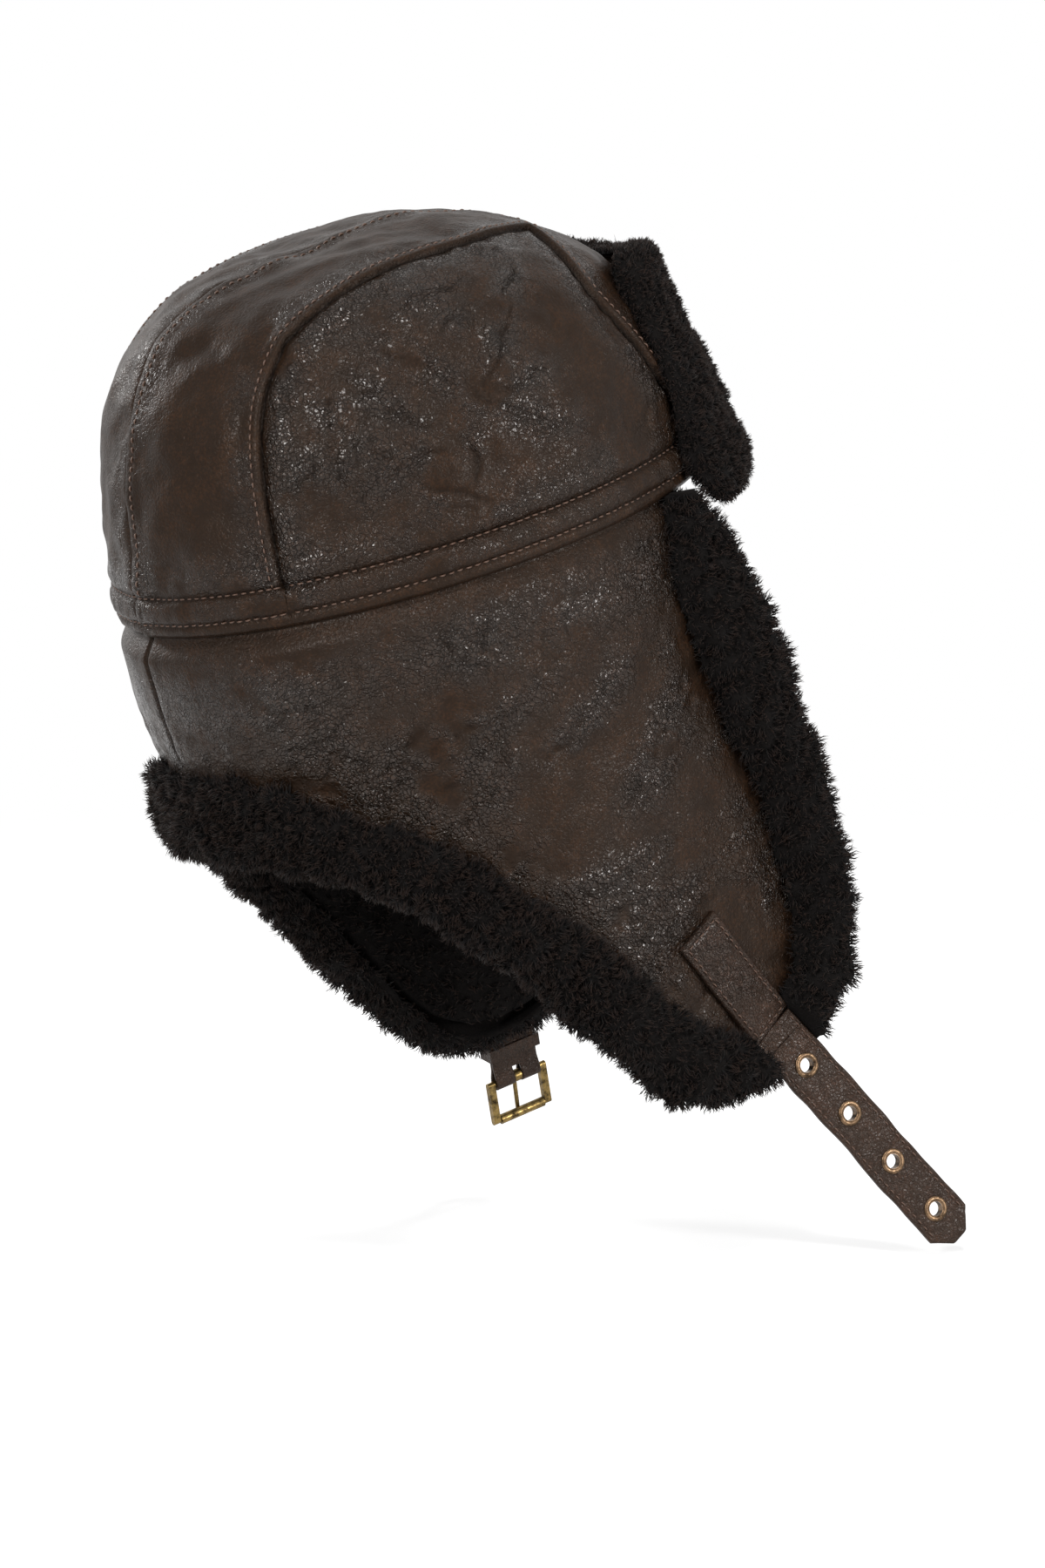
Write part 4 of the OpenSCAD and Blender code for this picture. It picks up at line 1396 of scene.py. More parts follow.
@dataclass
class GuardHalf:
    """Neck guard and ear flap of one side, cut as one skin with its wool edge turned out."""

    side: Side
    rows: int = 120
    cols: int = 250
    reach: float = 0.68
    back_share: float = 0.36
    swell: float = 4.6
    sag: tuple[float, float] = (-2.5, 6.5)
    edge_cols: int = 340
    section_n: int = 44
    # Shares of the section that swell and carry fibres, and of the edge's run that is neck.
    lumpy: float = 0.76
    woolly: float = 0.74
    neck_share: float = 0.42
    wool: Pile = Pile(density=1.75, length=4.2, lock=3.8, gather=0.75)
    pile: Pile = Pile(density=0.24, length=5.0, radius=0.34, lock=4.0)

    SECTION = [(0.0, 0.5), (-0.035, 3.0), (0.03, 8.6), (0.16, 12.6), (0.36, 14.6), (0.6, 14.4), (0.82, 11.4),
               (0.95, 6.4), (1.0, 0.6), (0.98, -4.6), (0.86, -8.8), (0.74, -10.4), (0.70, -7.0), (0.70, 0.3),
               (0.35, 0.3)]

    def place(self, low_share: float, tuck: float) -> tuple[Array, Array]:
        """Angles and depths of the skin's net, from the tucked edge down to its outline.

        Args:
            low_share: Share of the wool edge's width down to which the net reaches.
            tuck: Height of its top above the hem.

        Returns:
            Grids of angles and depths.
        """
        s, v = np.linspace(0, EDGE_END, self.cols + 1), np.linspace(0, 1, self.rows + 1)[:, None]
        low_phi, low_t = edge_at(s, low_share)
        return mix(mix(180, FORM.top_front, s / EDGE_END)[None], low_phi[None], v), mix(-tuck, low_t[None], v)

    def hide(self) -> None:
        """The leather, pressed in along the wool edge and puckered there."""
        phi, t = self.place(self.reach, FORM.tuck_h)
        base = FORM.wall(phi, t)
        normal = grid_normals(base)
        normal *= np.sign((normal * base * [1, 1, 0]).sum(-1, keepdims=True))
        q = edge_at(np.linspace(0, EDGE_END, 900), 0.0)
        gap, run = Track(FORM.wall(*q)).nearest(base)
        hatwise = mirrored(base, self.side)
        pucker = np.maximum(0, ripple(np.stack([run, 0 * run, 0 * run], -1), 12, 51 + self.side.value))
        d = guard_relief(base) - 0.9 * bell(gap, 5) * eased(t, 4, 20)
        d += self.swell * np.sin(np.radians(phi) / 2) ** 2 * eased(t, 0, 9) * (1 - eased(t, 25, 75))
        d -= 0.9 * pucker * bell(gap - 4, 15) + 0.25 * bell(gap - 8, 12) * ripple(hatwise, 7, 52)
        back = np.abs(base[..., 1])
        d += (-0.9 + 1.3 * eased(back, 0, 1.6) - 0.4 * eased(back, 3, 8)) * (phi > 90)
        d -= 0.5 * (1 - eased(t, 0, 4))
        lines = [FORM.wall(*np.array(line, float).T) for line in GUARD_CREASES]
        creases, beside, crease_shade = Creases(lines).press(base, 54 + self.side.value)
        d += creases * eased(t, 2, 10)
        # Painted shade in the creases and along the back seam.
        groove = np.maximum(0.8 * crease_shade * eased(t, 2, 10), bell(back, 0.9) * (phi > 90))
        strain = 0.9 * bell(gap - 6, 16) * (0.4 + pucker) + 0.6 * bell(t - 22, 14) + 0.95 * beside
        obj = shell(f"guard_hide_{self.side.word}", base + normal * np.maximum(d, -1.5)[..., None],
                    FORM.wall(phi, t, -FORM.hide_t), self.side, strain=np.clip(strain, 0, 1), groove=groove)
        HIDE.dress(obj)
        across_fold(obj, self.side)
        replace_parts(obj, f"neck_guard_{self.side.word}", f"ear_flap_{self.side.word}")

    def lining(self) -> None:
        """Wool inside the guard and flap."""
        phi, t = self.place(self.reach, FORM.tuck_h)
        top = -FORM.hide_t - FORM.ply_gap
        phi, t = phi[::2, ::2], t[::2, ::2]
        deep = FORM.wall(phi, t, top - FORM.pile + FIBRE_ROOM)
        inward = -unit(deep * [1, 1, 0])
        deep = deep + inward * ripples(deep, ((0.8, 15), (0.6, 6)), 61)[..., None]
        base = shell(f"guard_lining_{self.side.word}", FORM.wall(phi, t, top), deep, self.side)
        WOOL.dress(base)
        points = mirrored(deep, self.side).reshape(-1, 3)
        quads = quads_outward(points, grid_faces(*deep.shape[:2]), mirrored(inward, self.side).reshape(-1, 3))
        wool = self.pile.grow(f"guard_lining_wool_{self.side.word}", points, quads, 72 + self.side.value)
        for obj in (base, wool):
            across_fold(obj, self.side)
        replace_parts(base, f"neck_wool_{self.side.word}", f"ear_wool_{self.side.word}")

    def edge_rings(self) -> Array:
        """Rings of the wool edge's section, from the middle of the back to the temple.

        Returns:
            A ring of points for each column.
        """
        loop = np.array(self.SECTION)
        k = len(loop)
        ring = catmull(np.concatenate([loop[-1:], loop, loop[:2]]),
                       1 + np.linspace(0, k, self.section_n, endpoint=False))
        s = np.linspace(0, EDGE_END, self.edge_cols)[:, None]
        phi, t = edge_at(np.broadcast_to(s, (self.edge_cols, self.section_n)), ring[None, :, 0])
        near = self.side is Side.RIGHT
        t = t + 5.0 * (1 - eased(s, 2.5, 5)) + self.sag[0 if near else 1] * bell(s - (8 if near else 7), 2.7)
        temple = eased(s, EDGE_END - 1.5, EDGE_END)
        t = t - 6.5 * temple
        out = ring[None, :, 1]
        full = np.minimum(np.minimum(1, 0.55 + 0.15 * (2 * EDGE_END - 2 * s)),
                          mix(self.back_share, 1, np.maximum(0, (2 * s - 3) / 8)))
        full = full * (1 + 0.25 * temple)
        out = np.where(out > FORM.ply_gap, FORM.ply_gap + (out - FORM.ply_gap) * full, out)
        return FORM.wall(phi, t, out)

    def pressed(self, p: Array) -> tuple[Array, Array]:
        """Presses the wool down under the strap; also tells how much each point is under it.

        Args:
            p: The wool's points.

        Returns:
            The moved points, and a share of 0 to 1 for each.
        """
        seat = SEATS[self.side]
        q = seat.from_hat(p)
        beside = eased(np.abs(q[..., 0]), seat.width / 2 + 0.4, seat.width / 2 + 2.6)
        under = (1 - beside) * (1 - eased(q[..., 2], 9, 13))
        floor = seat.thick / 2 + 0.9
        q[..., 1] = mix(q[..., 1], np.maximum(q[..., 1], floor), under)
        return seat.to_hat(q), under * (q[..., 1] < floor + 3)

    def edge(self) -> None:
        """The wool edge: a lumpy roll and the fibres on it."""
        rings = self.edge_rings()
        around = grid_faces(*rings.shape[:2], wrap=True)
        points = rings.reshape(-1, 3)
        normal = vertex_normals(points, outward(points, around)).reshape(rings.shape)
        lump = ripples(rings, ((1.1, 26), (1.2, 11), (1.1, 6)), 81)
        index = np.arange(self.section_n)
        shown = (index > 0) & (index < self.section_n * self.lumpy)
        lump = lump * shown[None] * eased(np.arange(self.edge_cols), 0, 6)[:, None]
        rings, under = self.pressed(rings + normal * lump[..., None])
        count = self.edge_cols * self.section_n
        points = mirrored(rings.reshape(-1, 3), self.side)
        half, turned = self.section_n // 2, index[::-1]
        cap = np.stack([index[:half - 1], index[1:half], turned[1:half], turned[:half - 1]], -1)
        faces = np.concatenate([around, cap[:, ::-1], cap + count - self.section_n])
        base = mesh_object(f"wool_edge_{self.side.word}", points, outward(points, faces))
        WOOL.dress(base)
        across_fold(base, self.side)
        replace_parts(base, *(f"{part}_cuff_{self.side.word}" for part in ("neck", "temple", "ear")))
        turned = outward(points, around)
        column = np.tile(index, self.edge_cols - 1)
        row = np.repeat(np.arange(self.edge_cols - 1), self.section_n)
        keep = (column < self.section_n * self.woolly) & (under.ravel()[around].max(1) < 0.5)
        neck = row < self.neck_share * self.edge_cols
        for name, part in (("neck", neck), ("ear", ~neck)):
            obj = self.wool.grow(f"{name}_edge_wool_{self.side.word}", points, turned[keep & part],
                                 91 + self.side.value)
            across_fold(obj, self.side)

    def build(self) -> None:
        """The whole half."""
        self.hide()
        self.lining()
        self.edge()
        log.info("neck guard and ear flap, %s", self.side.word)


# ---------- front flap ----------


@dataclass
class FrontFlap:
    """Front flap, turned up against the crown with its wool outward."""

    high: float = 85.5
    low: float = -2.0
    lap: float = 11.0
    drop: float = 9.0
    half: float = 52.4
    pile: float = 9.0
    gap: float = 0.5
    clear: float = 52.0
    slope: float = 0.003
    rings: int = 54
    inner_rings: int = 28
    rim_share: float = 0.2
    squareness: int = 10
    hide_share: float = 0.935
    cols: int = 240
    wool: Pile = Pile(density=1.9, length=3.0, radius=0.22, lock=3.4, gather=0.75, curl=0.4)

    FULL = ([0, 0.12, 0.26, 0.45, 0.78, 1], [1.15, 1.2, 0.9, 0.56, 0.5, 0.85])

    def share(self, phi: Array, z: Array) -> Array:
        """Share to which the crown has narrowed at a height.

        Args:
            phi: Angle from the front.
            z: Height above the hem's lower edge.

        Returns:
            The share, 1 at the hem.
        """
        power = FORM.crown_power - FORM.back_power * np.cos(np.radians(phi))
        h = np.clip((z - FORM.hem_h) / (FORM.crown_h - FORM.hem_h), 0, 0.999)
        r = (1 - h**power) ** (1 / power)
        s2 = 2 * h * r / (h * h + r * r)
        return r * (1 - FORM.front_press * np.maximum(0, np.cos(np.radians(phi))) ** 4 * s2)

    def at(self, phi: Array, z: Array, out: Array) -> Array:
        """Point in front of the crown: it follows the crown up to a height and stands off above it.

        Args:
            phi: Angle from the front.
            z: Height above the hem's lower edge.
            out: Distance outside the crown's front.

        Returns:
            The points.
        """
        f = np.radians(phi)
        s = self.share(phi, np.minimum(z, self.clear)) - self.slope * np.maximum(0, z - self.clear)
        s = np.where(np.minimum(z, self.clear) <= FORM.hem_h, 1, s)
        lean = FORM.crown_lean * np.maximum(0, z - FORM.hem_h)
        o = out + FORM.hem_bulge + self.gap
        return np.stack([(FORM.hem_a * s + o) * np.cos(f) + lean, -(FORM.hem_b * s + o) * np.sin(f), z], -1)

    def height(self, u: Array, v: Array, low: Array) -> Array:
        """Height of a place: the top edge dips between the corners."""
        return mix(low, self.high - self.drop * (1 - eased(np.abs(u), 0.1, 0.93)), v)

    def disk(self) -> tuple[Array, Array, Array]:
        """Rings of a rounded square from its middle out, and how far out each is.

        Returns:
            Grids of places across and up, from -1 to 1, and of shares outward.
        """
        fine = np.linspace(0, np.pi / 2, self.rings - self.inner_rings + 1)[1:]
        rho = np.concatenate([np.linspace(0.02, 1 - self.rim_share, self.inner_rings),
                              1 - self.rim_share * np.cos(fine)])
        f = np.linspace(0, 2 * np.pi, self.cols, endpoint=False)
        n = self.squareness
        k = (np.abs(np.cos(f)) ** n + np.abs(np.sin(f)) ** n) ** (-1 / n)
        u = rho[:, None] * (k * np.cos(f))[None]
        v = (rho[:, None] * (k * np.sin(f))[None] + 1) / 2
        return u, v, np.broadcast_to(rho[:, None], u.shape)

    def build(self) -> None:
        """Leather back, wool front and its fibres."""
        u, v, rho = self.disk()
        flat_u, flat_v = u * self.hide_share, (2 * v - 1) * self.hide_share / 2 + 0.5
        flat_h = self.height(flat_u, flat_v, self.low)
        sheet = [self.at(flat_u * self.half, flat_h, out) for out in (FORM.hide_t, 0.0)]
        hide = mesh_object("front_flap_hide", *pillow(sheet[0], sheet[1][::-1]))
        HIDE.dress(hide)
        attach(hide, "visor")
        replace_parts(hide, "visor_hide")

        skin_out = FORM.hide_t + FORM.ply_gap
        rise = (1 - np.clip(rho, 0, 1) ** 13) ** 0.38
        z = self.height(u, v, self.low - self.lap * eased(rise, 0, 0.6))
        front = self.at(u * self.half, z, skin_out + (self.pile * np.interp(v, *self.FULL) - 0.8) * rise)
        normal = unit(front * [1, 1, 0.15])
        lump = ripples(front, ((0.8, 22), (0.6, 9, 1, 1, 0.6), (0.5, 4.5, 1, 1, 0.7)), 101)
        front = front + normal * (lump * eased(1 - rho, 0, 0.12))[..., None]
        inner = np.linspace(0.94, 0.02, 16)[:, None] / rho[-1, 0]
        back_u, back_v = u[-1] * inner, (2 * v[-1] - 1) * inner / 2 + 0.5
        back = self.at(back_u * self.half, self.height(back_u, back_v, self.low), skin_out)
        curl = eased(v[-1], 0.35, 0.8) * np.maximum(eased(np.abs(u[-1]), 0.6, 0.95), eased(v[-1], 0.9, 1))
        wrap_u = u[-1] * 0.985
        wrap = self.at(wrap_u * self.half, self.height(wrap_u, v[-1], self.low), 0.4 - 5.0 * curl)[None]
        base = mesh_object("front_flap_wool_ground", *pillow(front, np.concatenate([wrap, back])))
        WOOL.dress(base)
        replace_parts(base, "visor_wool")
        quads = grid_faces(len(front) + 1, self.cols, wrap=True)
        points = np.concatenate([front, wrap]).reshape(-1, 3)
        quads = quads_outward(points, quads, np.repeat([[1.0, 0, 0]], len(points), 0))
        middle = points[quads].mean(1)[:, 1]
        tufts = [self.wool.grow(f"front_flap_wool_{side.word}", points, quads[middle * side.value < 0],
                                111 + side.value) for side in Side]
        for obj in (base, *tufts):
            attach(obj, "visor")
        log.info("front flap built")


# ---------- straps ----------


def slab(flat: Array, quads: Array, half: Array) -> tuple[Array, Array]:
    """Closed plate from a flat net of quads.

    Args:
        flat: Points of the net as [across, along].
        quads: The net's quads.
        half: Half of the thickness at each point.

    Returns:
        Points as [across, out, along] and faces, with walls along every open edge of the net.
    """
    n = len(flat)
    edges = np.concatenate([quads[:, [k, (k + 1) % 4]] for k in range(4)])
    key = np.sort(edges, 1) @ np.array([n, 1])
    _, first, count = np.unique(key, return_index=True, return_counts=True)
    rim = edges[first[count == 1]]
    front = np.stack([flat[:, 0], -half, flat[:, 1]], -1)
    verts = np.concatenate([front, front * [1, -1, 1]])
    wall = np.stack([rim[:, 1], rim[:, 0], rim[:, 0] + n, rim[:, 1] + n], -1)
    faces = np.concatenate([quads, quads[:, ::-1] + n, wall])
    return verts, outward(verts, faces)


def flat_net(x: Array, z: Array) -> tuple[Array, Array]:
    """Plain net of quads across x and along z: its points and its quads."""
    return np.stack(np.meshgrid(x, z), -1).reshape(-1, 2), grid_faces(len(z), len(x))


def beside(x: Array, z: Array) -> Array:
    """Points of [x, z], where one of them may be the same for all."""
    return np.stack(np.broadcast_arrays(x, z), -1)


def welded(points: Array, faces: Array) -> tuple[Array, Array]:
    """Joins points that lie on each other."""
    _, first, index = np.unique(np.round(points, 4), axis=0, return_index=True, return_inverse=True)
    return points[first], index.reshape(-1)[faces]


@dataclass
class Strap:
    """Strap leather in the strap's frame: straight, with rounded edges and holes for eyelets."""

    width: float = 20.0
    thick: float = 2.4
    shoulder: float = 8.0
    point: float = 7.0
    hole: float = 3.13
    pitch: float = 25.0
    first: float = 20.0
    holes: int = 4
    round_in: float = 0.9
    top: float = -0.4
    across: int = 22
    along: int = 26

    @property
    def length(self) -> float:
        """Length from the sewn end to the tip."""
        return self.first + (self.holes - 1) * self.pitch + self.shoulder + self.point

    def rounded(self, flat: Array, tip: bool) -> Array:
        """Half thickness: full inside, falling in a quarter round at the edges.

        Args:
            flat: The net's points.
            tip: Whether the lower end is the blunt tip.

        Returns:
            One half thickness for each point.
        """
        away = self.width / 2 - np.abs(flat[:, 0])
        if tip:
            lean = np.array([self.point, self.width / 3]) / np.hypot(self.point, self.width / 3)
            corner = away * lean[0] + (self.length - self.point + flat[:, 1]) * lean[1]
            away = np.minimum(away, np.minimum(self.length + flat[:, 1], corner))
        f = np.clip(away / self.round_in, 0, 1)
        return self.thick / 2 - self.round_in * 0.75 * (1 - np.sqrt(1 - (1 - f) ** 2))

    def tongue_net(self) -> tuple[Array, Array]:
        """Net with a ring of quads round each hole, and the blunt tip on the last one.

        Returns:
            Points and quads.
        """
        w, x = self.width / 2, self.width / 2 * (2 * gathered(self.across, 0.85) - 1)
        f = (1 - (1 - np.linspace(0, 1, 12)) ** 1.7)[:, None, None]
        nets = [flat_net(x, np.linspace(self.top, -self.first + self.pitch / 2, 10))]
        for k in range(self.holes):
            middle = -self.first - k * self.pitch
            low = middle - self.pitch / 2
            foot = beside(x[::-1], low)
            if k == self.holes - 1:
                low = self.point - self.length
                turns, place = [0, 0.33, 0.67, 1], np.linspace(0, 1, self.across + 1)
                foot = beside(np.interp(place, turns, [w, w / 3, -w / 3, -w]),
                              np.interp(place, turns, [low, -self.length, -self.length, low]))
            sides = np.linspace(middle + self.pitch / 2, low, self.along + 1)
            border = np.concatenate([line[:-1] for line in (
                beside(x, sides[0]), beside(w, sides), foot, beside(-w, sides[::-1]))])
            away = border - [0, middle]
            net = mix(unit(away)[None] * self.hole, away[None], f) + [0, middle]
            nets.append((net.reshape(-1, 2), grid_faces(*net.shape[:2], wrap=True)))
        before = np.cumsum([0] + [len(points) for points, _ in nets])
        return welded(np.concatenate([points for points, _ in nets]),
                      np.concatenate([quads + n for (_, quads), n in zip(nets, before)]))

    def plain_net(self, bottom: float) -> tuple[Array, Array]:
        """Plain net from the sewn end to a place along the strap."""
        return flat_net(self.width / 2 * (2 * gathered(26, 0.85) - 1), np.linspace(self.top, bottom, 30))


@dataclass
class Straps:
    """Chin strap on the wearer's right and buckle strap on the left."""

    lead: float = 30.0
    tab: float = 16.0
    bar_r: float = 1.48
    ply: float = 1.2
    slot: float = 3.8
    beside_slot: int = 12
    inset: float = 2.0
    strap: Strap = field(default_factory=Strap)
    stitch: StitchRow = StitchRow(pitch=3.2, length=2.5, radius=0.28)

    def sewn_end(self, side: Side) -> None:
        """The sewn part, which follows the flap's leather, and its stitches.

        Args:
            side: The side of the wearer.
        """
        seat = SEATS[side]
        w = self.strap.width / 2
        across, along = w * (2 * gathered(34, 0.85) - 1), np.linspace(0, seat.sewn, 80)
        x, z = np.meshgrid(across, along)
        away = np.minimum(w - np.abs(x), np.minimum(z, seat.sewn - z))
        f = np.clip(away / self.strap.round_in, 0, 1)
        drop = 0.8 * (1 - np.sqrt(1 - (1 - f) ** 2)) + 0.35 * bell(away - self.inset, 0.7)
        obj = shell(f"strap_sewn_end_{side.word}", seat.on_flap(x, z, FORM.ply_gap + seat.thick - drop),
                    seat.on_flap(x, z, np.full(x.shape, FORM.ply_gap)), side, strain=np.full(x.shape, 0.5))
        STRAP.dress(obj)
        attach(obj, side.ear)
        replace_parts(obj, "strap_base" if side is Side.RIGHT else "tab_base")
        i, foot = w - self.inset, self.inset + 0.2
        high = seat.sewn - self.inset
        for name, a, b in (("rear", [-i, self.inset], [-i, high]), ("front", [i, self.inset], [i, high]),
                           ("top", [-i, high], [i, high]), ("foot", [-i, foot], [i, foot])):
            line = mix(np.array(a)[None], np.array(b)[None], np.linspace(0, 1, 60)[:, None])
            points = seat.on_flap(line[:, 0], line[:, 1], np.full(60, FORM.ply_gap + seat.thick - 0.25))
            thread = self.stitch.sew(f"strap_stitches_{name}_{side.word}", points, seat.radial(points), side)
            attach(thread, side.ear)

    def bend(self, obj: bpy.types.Object, side: Side) -> None:
        """Finds a strap's joint, between the ear flap and the free part, and bakes the strap's transform into
        its mesh; the strap is not bent.

        Args:
            obj: The piece.
            side: The side of the wearer.
        """
        seat = SEATS[side]
        start, end = (FORM.worn(mirrored(seat.to_hat(np.array([0, 0, -k])), side)) for k in (25.0, 33.0))
        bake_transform(obj)

    def tongue(self) -> None:
        """The chin strap below its sewn end, with its rows of stitches along both edges."""
        seat, strap = SEATS[Side.RIGHT], self.strap
        flat, quads = strap.tongue_net()
        half = strap.rounded(flat, True) - 0.3 * bell(strap.width / 2 - np.abs(flat[:, 0]) - 2.0, 0.6)
        local, faces = slab(flat, quads, half)
        edge = (np.abs(local[:, 0]) / (strap.width / 2)) ** 4
        local[:, 0] += np.sign(local[:, 0]) * edge * 0.35 * ripple(local * [1, 0, 1], 17, 121)
        obj = mesh_object("chin_strap", seat.to_hat(local), faces)
        STRAP.dress(obj)
        self.bend(obj, Side.RIGHT)
        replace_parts(obj, "strap_tongue")
        for name, x in (("rear", -strap.width / 2 + 2), ("front", strap.width / 2 - 2)):
            z = np.linspace(-2, -strap.length + strap.point + 1, 120)
            line = np.stack([np.full(120, x), np.full(120, -strap.thick / 2 + 0.2), z], -1)
            thread = self.stitch.sew(f"chin_strap_stitches_{name}", seat.to_hat(line),
                                     np.repeat(seat.turn @ np.array([[0.0, -1, 0]]).T, 120, 1).T)
            self.bend(thread, Side.RIGHT)

    def fold_path(self, run: Array, top: float, bar: float) -> tuple[Array, Array, Array]:
        """Middle of one ply as it runs down the outside, round the heel bar and up the inside.

        Args:
            run: Length along the ply.
            top: Height where it starts and ends.
            bar: Height of the bar's middle.

        Returns:
            Place outward, height, and the angle of the ply's normal.
        """
        r = self.bar_r + self.ply / 2
        down = top - bar - 1.5
        turn = np.pi * r
        f = np.clip((run - down) / turn, 0, 1) * np.pi
        inside = np.maximum(0, run - down - turn)
        back_up = np.where(inside > 0, bar + 1.5 * (inside > 0) + inside - 1.5, bar - r * np.sin(f))
        z = np.where(run < down, top - run, back_up)
        near = eased(np.where(run < down, z - bar, inside), 0.0, 7.0)
        y = -np.cos(f) * mix(r, self.ply / 2 + 0.02, near)
        return y, z, f

    def buckle_strap(self) -> None:
        """The left strap: its lead and the ply folded round the heel bar, slotted for the prong."""
        seat, strap, side = SEATS[Side.LEFT], self.strap, Side.LEFT
        flat, quads = strap.plain_net(-self.lead - 3.5)
        local, faces = slab(flat, quads, strap.rounded(flat, False))
        obj = mesh_object("buckle_strap", mirrored(seat.to_hat(local), side), faces[:, ::-1])
        STRAP.dress(obj)
        self.bend(obj, side)

        bar, top = -self.lead - self.tab, -self.lead - 3.5
        half_w, gap = strap.width / 2, self.slot / 2
        side_x = gathered(self.beside_slot, 0.8)
        x = np.concatenate([mix(-half_w, -gap, side_x), mix(gap, half_w, side_x)])
        run = np.linspace(0, 2 * (top - bar) - 1.5 + np.pi * (self.bar_r + self.ply / 2), 90)
        flat, quads = flat_net(x, run)
        y, z, f = self.fold_path(flat[:, 1], top, bar)
        keep = np.ones((len(run) - 1, len(x) - 1), bool)
        keep[self.fold_path((run[1:] + run[:-1]) / 2, top, bar)[1] < bar + 5, self.beside_slot] = False
        edge = np.clip((half_w - np.abs(flat[:, 0])) / 0.6, 0, 1)
        thick = self.ply / 2 * (0.75 + 0.25 * np.sqrt(1 - (1 - edge) ** 2))
        local, faces = slab(flat, quads[keep.ravel()], thick)
        y, z, f = (np.tile(a, 2) for a in (y, z, f))
        bent = np.stack([local[:, 0], y + local[:, 1] * np.cos(f), z + local[:, 1] * np.sin(f)], -1)
        obj = mesh_object("buckle_strap_fold", mirrored(seat.to_hat(bent), side),
                          outward(bent, faces)[:, ::-1])
        STRAP.dress(obj)
        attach(obj, "tab")
        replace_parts(obj, "buckle_tab")

    def build(self) -> None:
        """Both straps; the eyelets and the buckle keep their own solids."""
        for side in Side:
            self.sewn_end(side)
        self.tongue()
        self.buckle_strap()
        STRAP.dress(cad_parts["keeper"])
        BRONZE.dress(*(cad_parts[name] for name in (
            "base_eyelet", "base_washer", "tongue_eyelets", "tongue_washers")))
        BRASS.dress(*(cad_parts[n] for n in ("buckle_frame", "buckle_prong", "buckle_roller")))
        log.info("straps and buckle built")


# ---------- studio ----------


def stand(obj: bpy.types.Object, place: Sequence[float], back: Array, right: Array) -> None:
    """Puts a lamp or the camera at a place, looking away from back.

    Args:
        obj: The lamp's or camera's object.
        place: Where it stands, in metres.
        back: The direction that it looks away from.
        right: The direction on its right.
    """
    rows = np.eye(4)
    rows[:3, :3] = np.stack([right, np.cross(back, right), back], -1)
    rows[:3, 3] = place
    obj.matrix_world = Matrix(rows.tolist())
    bpy.context.collection.objects.link(obj)


@dataclass(frozen=True)
class Softbox:
    """A soft lamp that faces the hat, of a width and a height, with or without glints of its own."""

    name: str
    place: tuple[float, float, float]
    size: tuple[float, float]
    power: float
    glints: bool = True
    aim: tuple[float, float, float] = (0.0, 0.0, -0.05)

    def build(self) -> None:
        """Adds the lamp."""
        lamp = bpy.data.lights.new(self.name, "AREA")
        lamp.shape, lamp.energy = "RECTANGLE", self.power
        lamp.size, lamp.size_y = self.size
        obj = bpy.data.objects.new(self.name, lamp)
        obj.visible_glossy = self.glints
        back = unit(np.array(self.place) - np.array(self.aim))
        stand(obj, self.place, back, unit(np.cross([0, 0, 1], back)))


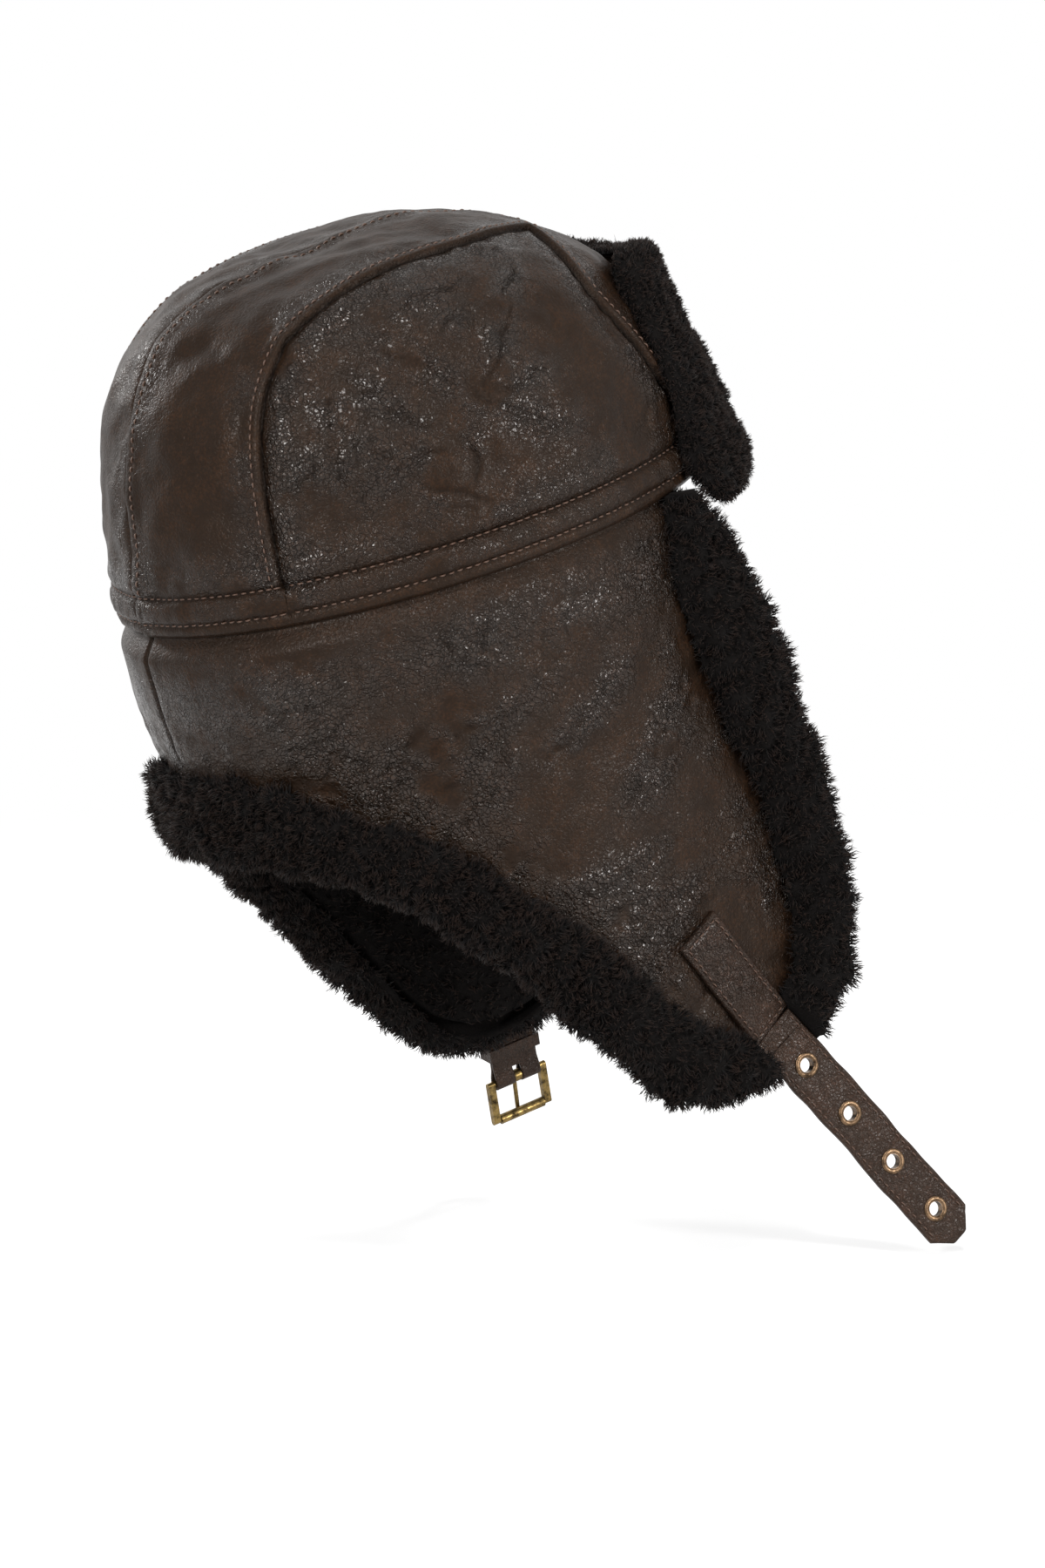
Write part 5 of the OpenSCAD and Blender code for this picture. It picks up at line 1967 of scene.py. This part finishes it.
@dataclass
class Studio:
    """White room, pale floor, soft lamps and the camera."""

    azimuth: float = -30.95
    elevation: float = 7.2
    place: tuple[float, float, float] = (-1.2483, -2.1569, 0.2230)
    lens: float = 157.5
    sensor: float = 36.0
    ambient: float = 0.24
    floor_white: float = 0.55
    floor_half: float = 8.0
    floor_gap: float = 0.004
    lamps: tuple[Softbox, ...] = (
        Softbox("left_softbox", (-1.6, -1.15, 0.55), (0.34, 0.5), 23),
        Softbox("high_softbox", (-0.45, -1.1, 1.55), (0.3, 0.3), 14),
        Softbox("right_softbox", (0.75, -1.7, 0.2), (0.3, 0.3), 14),
        Softbox("front_softbox", (1.5, 1.0, 0.8), (0.3, 0.3), 13, False),
        Softbox("far_softbox", (-0.6, 1.7, 0.7), (0.3, 0.3), 12))

    def camera(self) -> None:
        """Camera behind the wearer's right shoulder, a little above the hem."""
        a, e = np.radians(self.azimuth), np.radians(self.elevation)
        data = bpy.data.cameras.new("camera")
        data.lens, data.sensor_width, data.clip_end = self.lens, self.sensor, 50.0
        obj = bpy.data.objects.new("camera", data)
        stand(obj, self.place, np.array([np.sin(a) * np.cos(e), -np.cos(a) * np.cos(e), np.sin(e)]),
              np.array([np.cos(a), np.sin(a), 0]))
        bpy.context.scene.camera = obj

    def seen_white(self, add: AddNode) -> bpy.types.Node:
        """1 for rays of the camera, of reflections and of transmission.

        Args:
            add: Adds a node to the tree.

        Returns:
            The node whose first output is the value.
        """
        path = add("LightPath").outputs
        some = add("Math", {0: path["Is Camera Ray"], 1: path["Is Glossy Ray"]}, operation="ADD",
                   use_clamp=True)
        return add("Math", {0: some, 1: path["Is Transmission Ray"]}, operation="ADD", use_clamp=True)

    def world(self) -> None:
        """White where it is seen and a plain grey where it only lights."""
        world = bpy.data.worlds.new("white_room")
        add = new_tree(world)
        level = add("MapRange", {"Value": self.seen_white(add), "To Min": self.ambient, "To Max": 1.0})
        back = add("Background", {"Color": (1, 1, 1, 1), "Strength": level})
        add("OutputWorld", {"Surface": back})
        bpy.context.scene.world = world

    def floor(self) -> None:
        """Pale floor below the straps that lightens where it is seen and keeps the shadow."""
        z, half = CAD_BOX[0][2] - self.floor_gap, self.floor_half
        mesh = bpy.data.meshes.new("floor")
        mesh.from_pydata([(-half, -half, z), (half, -half, z), (half, half, z), (-half, half, z)], [],
                         [(0, 1, 2, 3)])
        obj = bpy.data.objects.new("floor", mesh)
        bpy.context.collection.objects.link(obj)
        material = bpy.data.materials.new("matt_white_floor")
        add = new_tree(material)
        away = add("VectorMath", {0: add("TexCoord").outputs["Object"]}, operation="LENGTH").outputs["Value"]
        far = add("MapRange", {"Value": away, "From Min": 0.45, "From Max": 1.3},
                  interpolation_type="SMOOTHSTEP")
        white = add("Mix", {"Factor": far, 6: linear("#e0e0e0"), 7: linear("#000000")}, data_type="RGBA")
        level = add("MapRange", {"Value": far, "To Min": self.floor_white, "To Max": 1.0})
        glow = add("Math", {0: self.seen_white(add), 1: level}, operation="MULTIPLY")
        shader = add("BsdfPrincipled", {
            "Base Color": white.outputs[2], "Roughness": 1.0, "Specular IOR Level": 0.0,
            "Emission Color": (1, 1, 1, 1), "Emission Strength": glow})
        add("OutputMaterial", {"Surface": shader})
        mesh.materials.append(material)
        obj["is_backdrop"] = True

    def build(self) -> None:
        """Everything round the hat."""
        bpy.context.scene.view_settings.view_transform = "Standard"
        self.camera()
        self.world()
        self.floor()
        for lamp in self.lamps:
            lamp.build()


def main() -> None:
    """Builds the hat and its studio."""
    logging.basicConfig(level=logging.INFO, format="%(name)s: %(message)s")
    Crown().build()
    for side in Side:
        GuardHalf(side).build()
    FrontFlap().build()
    Straps().build()
    Studio().build()
    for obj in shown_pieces():
        log.info("piece %s, %d faces", obj.name, len(obj.data.polygons))


if __name__ == "__main__":
    main()
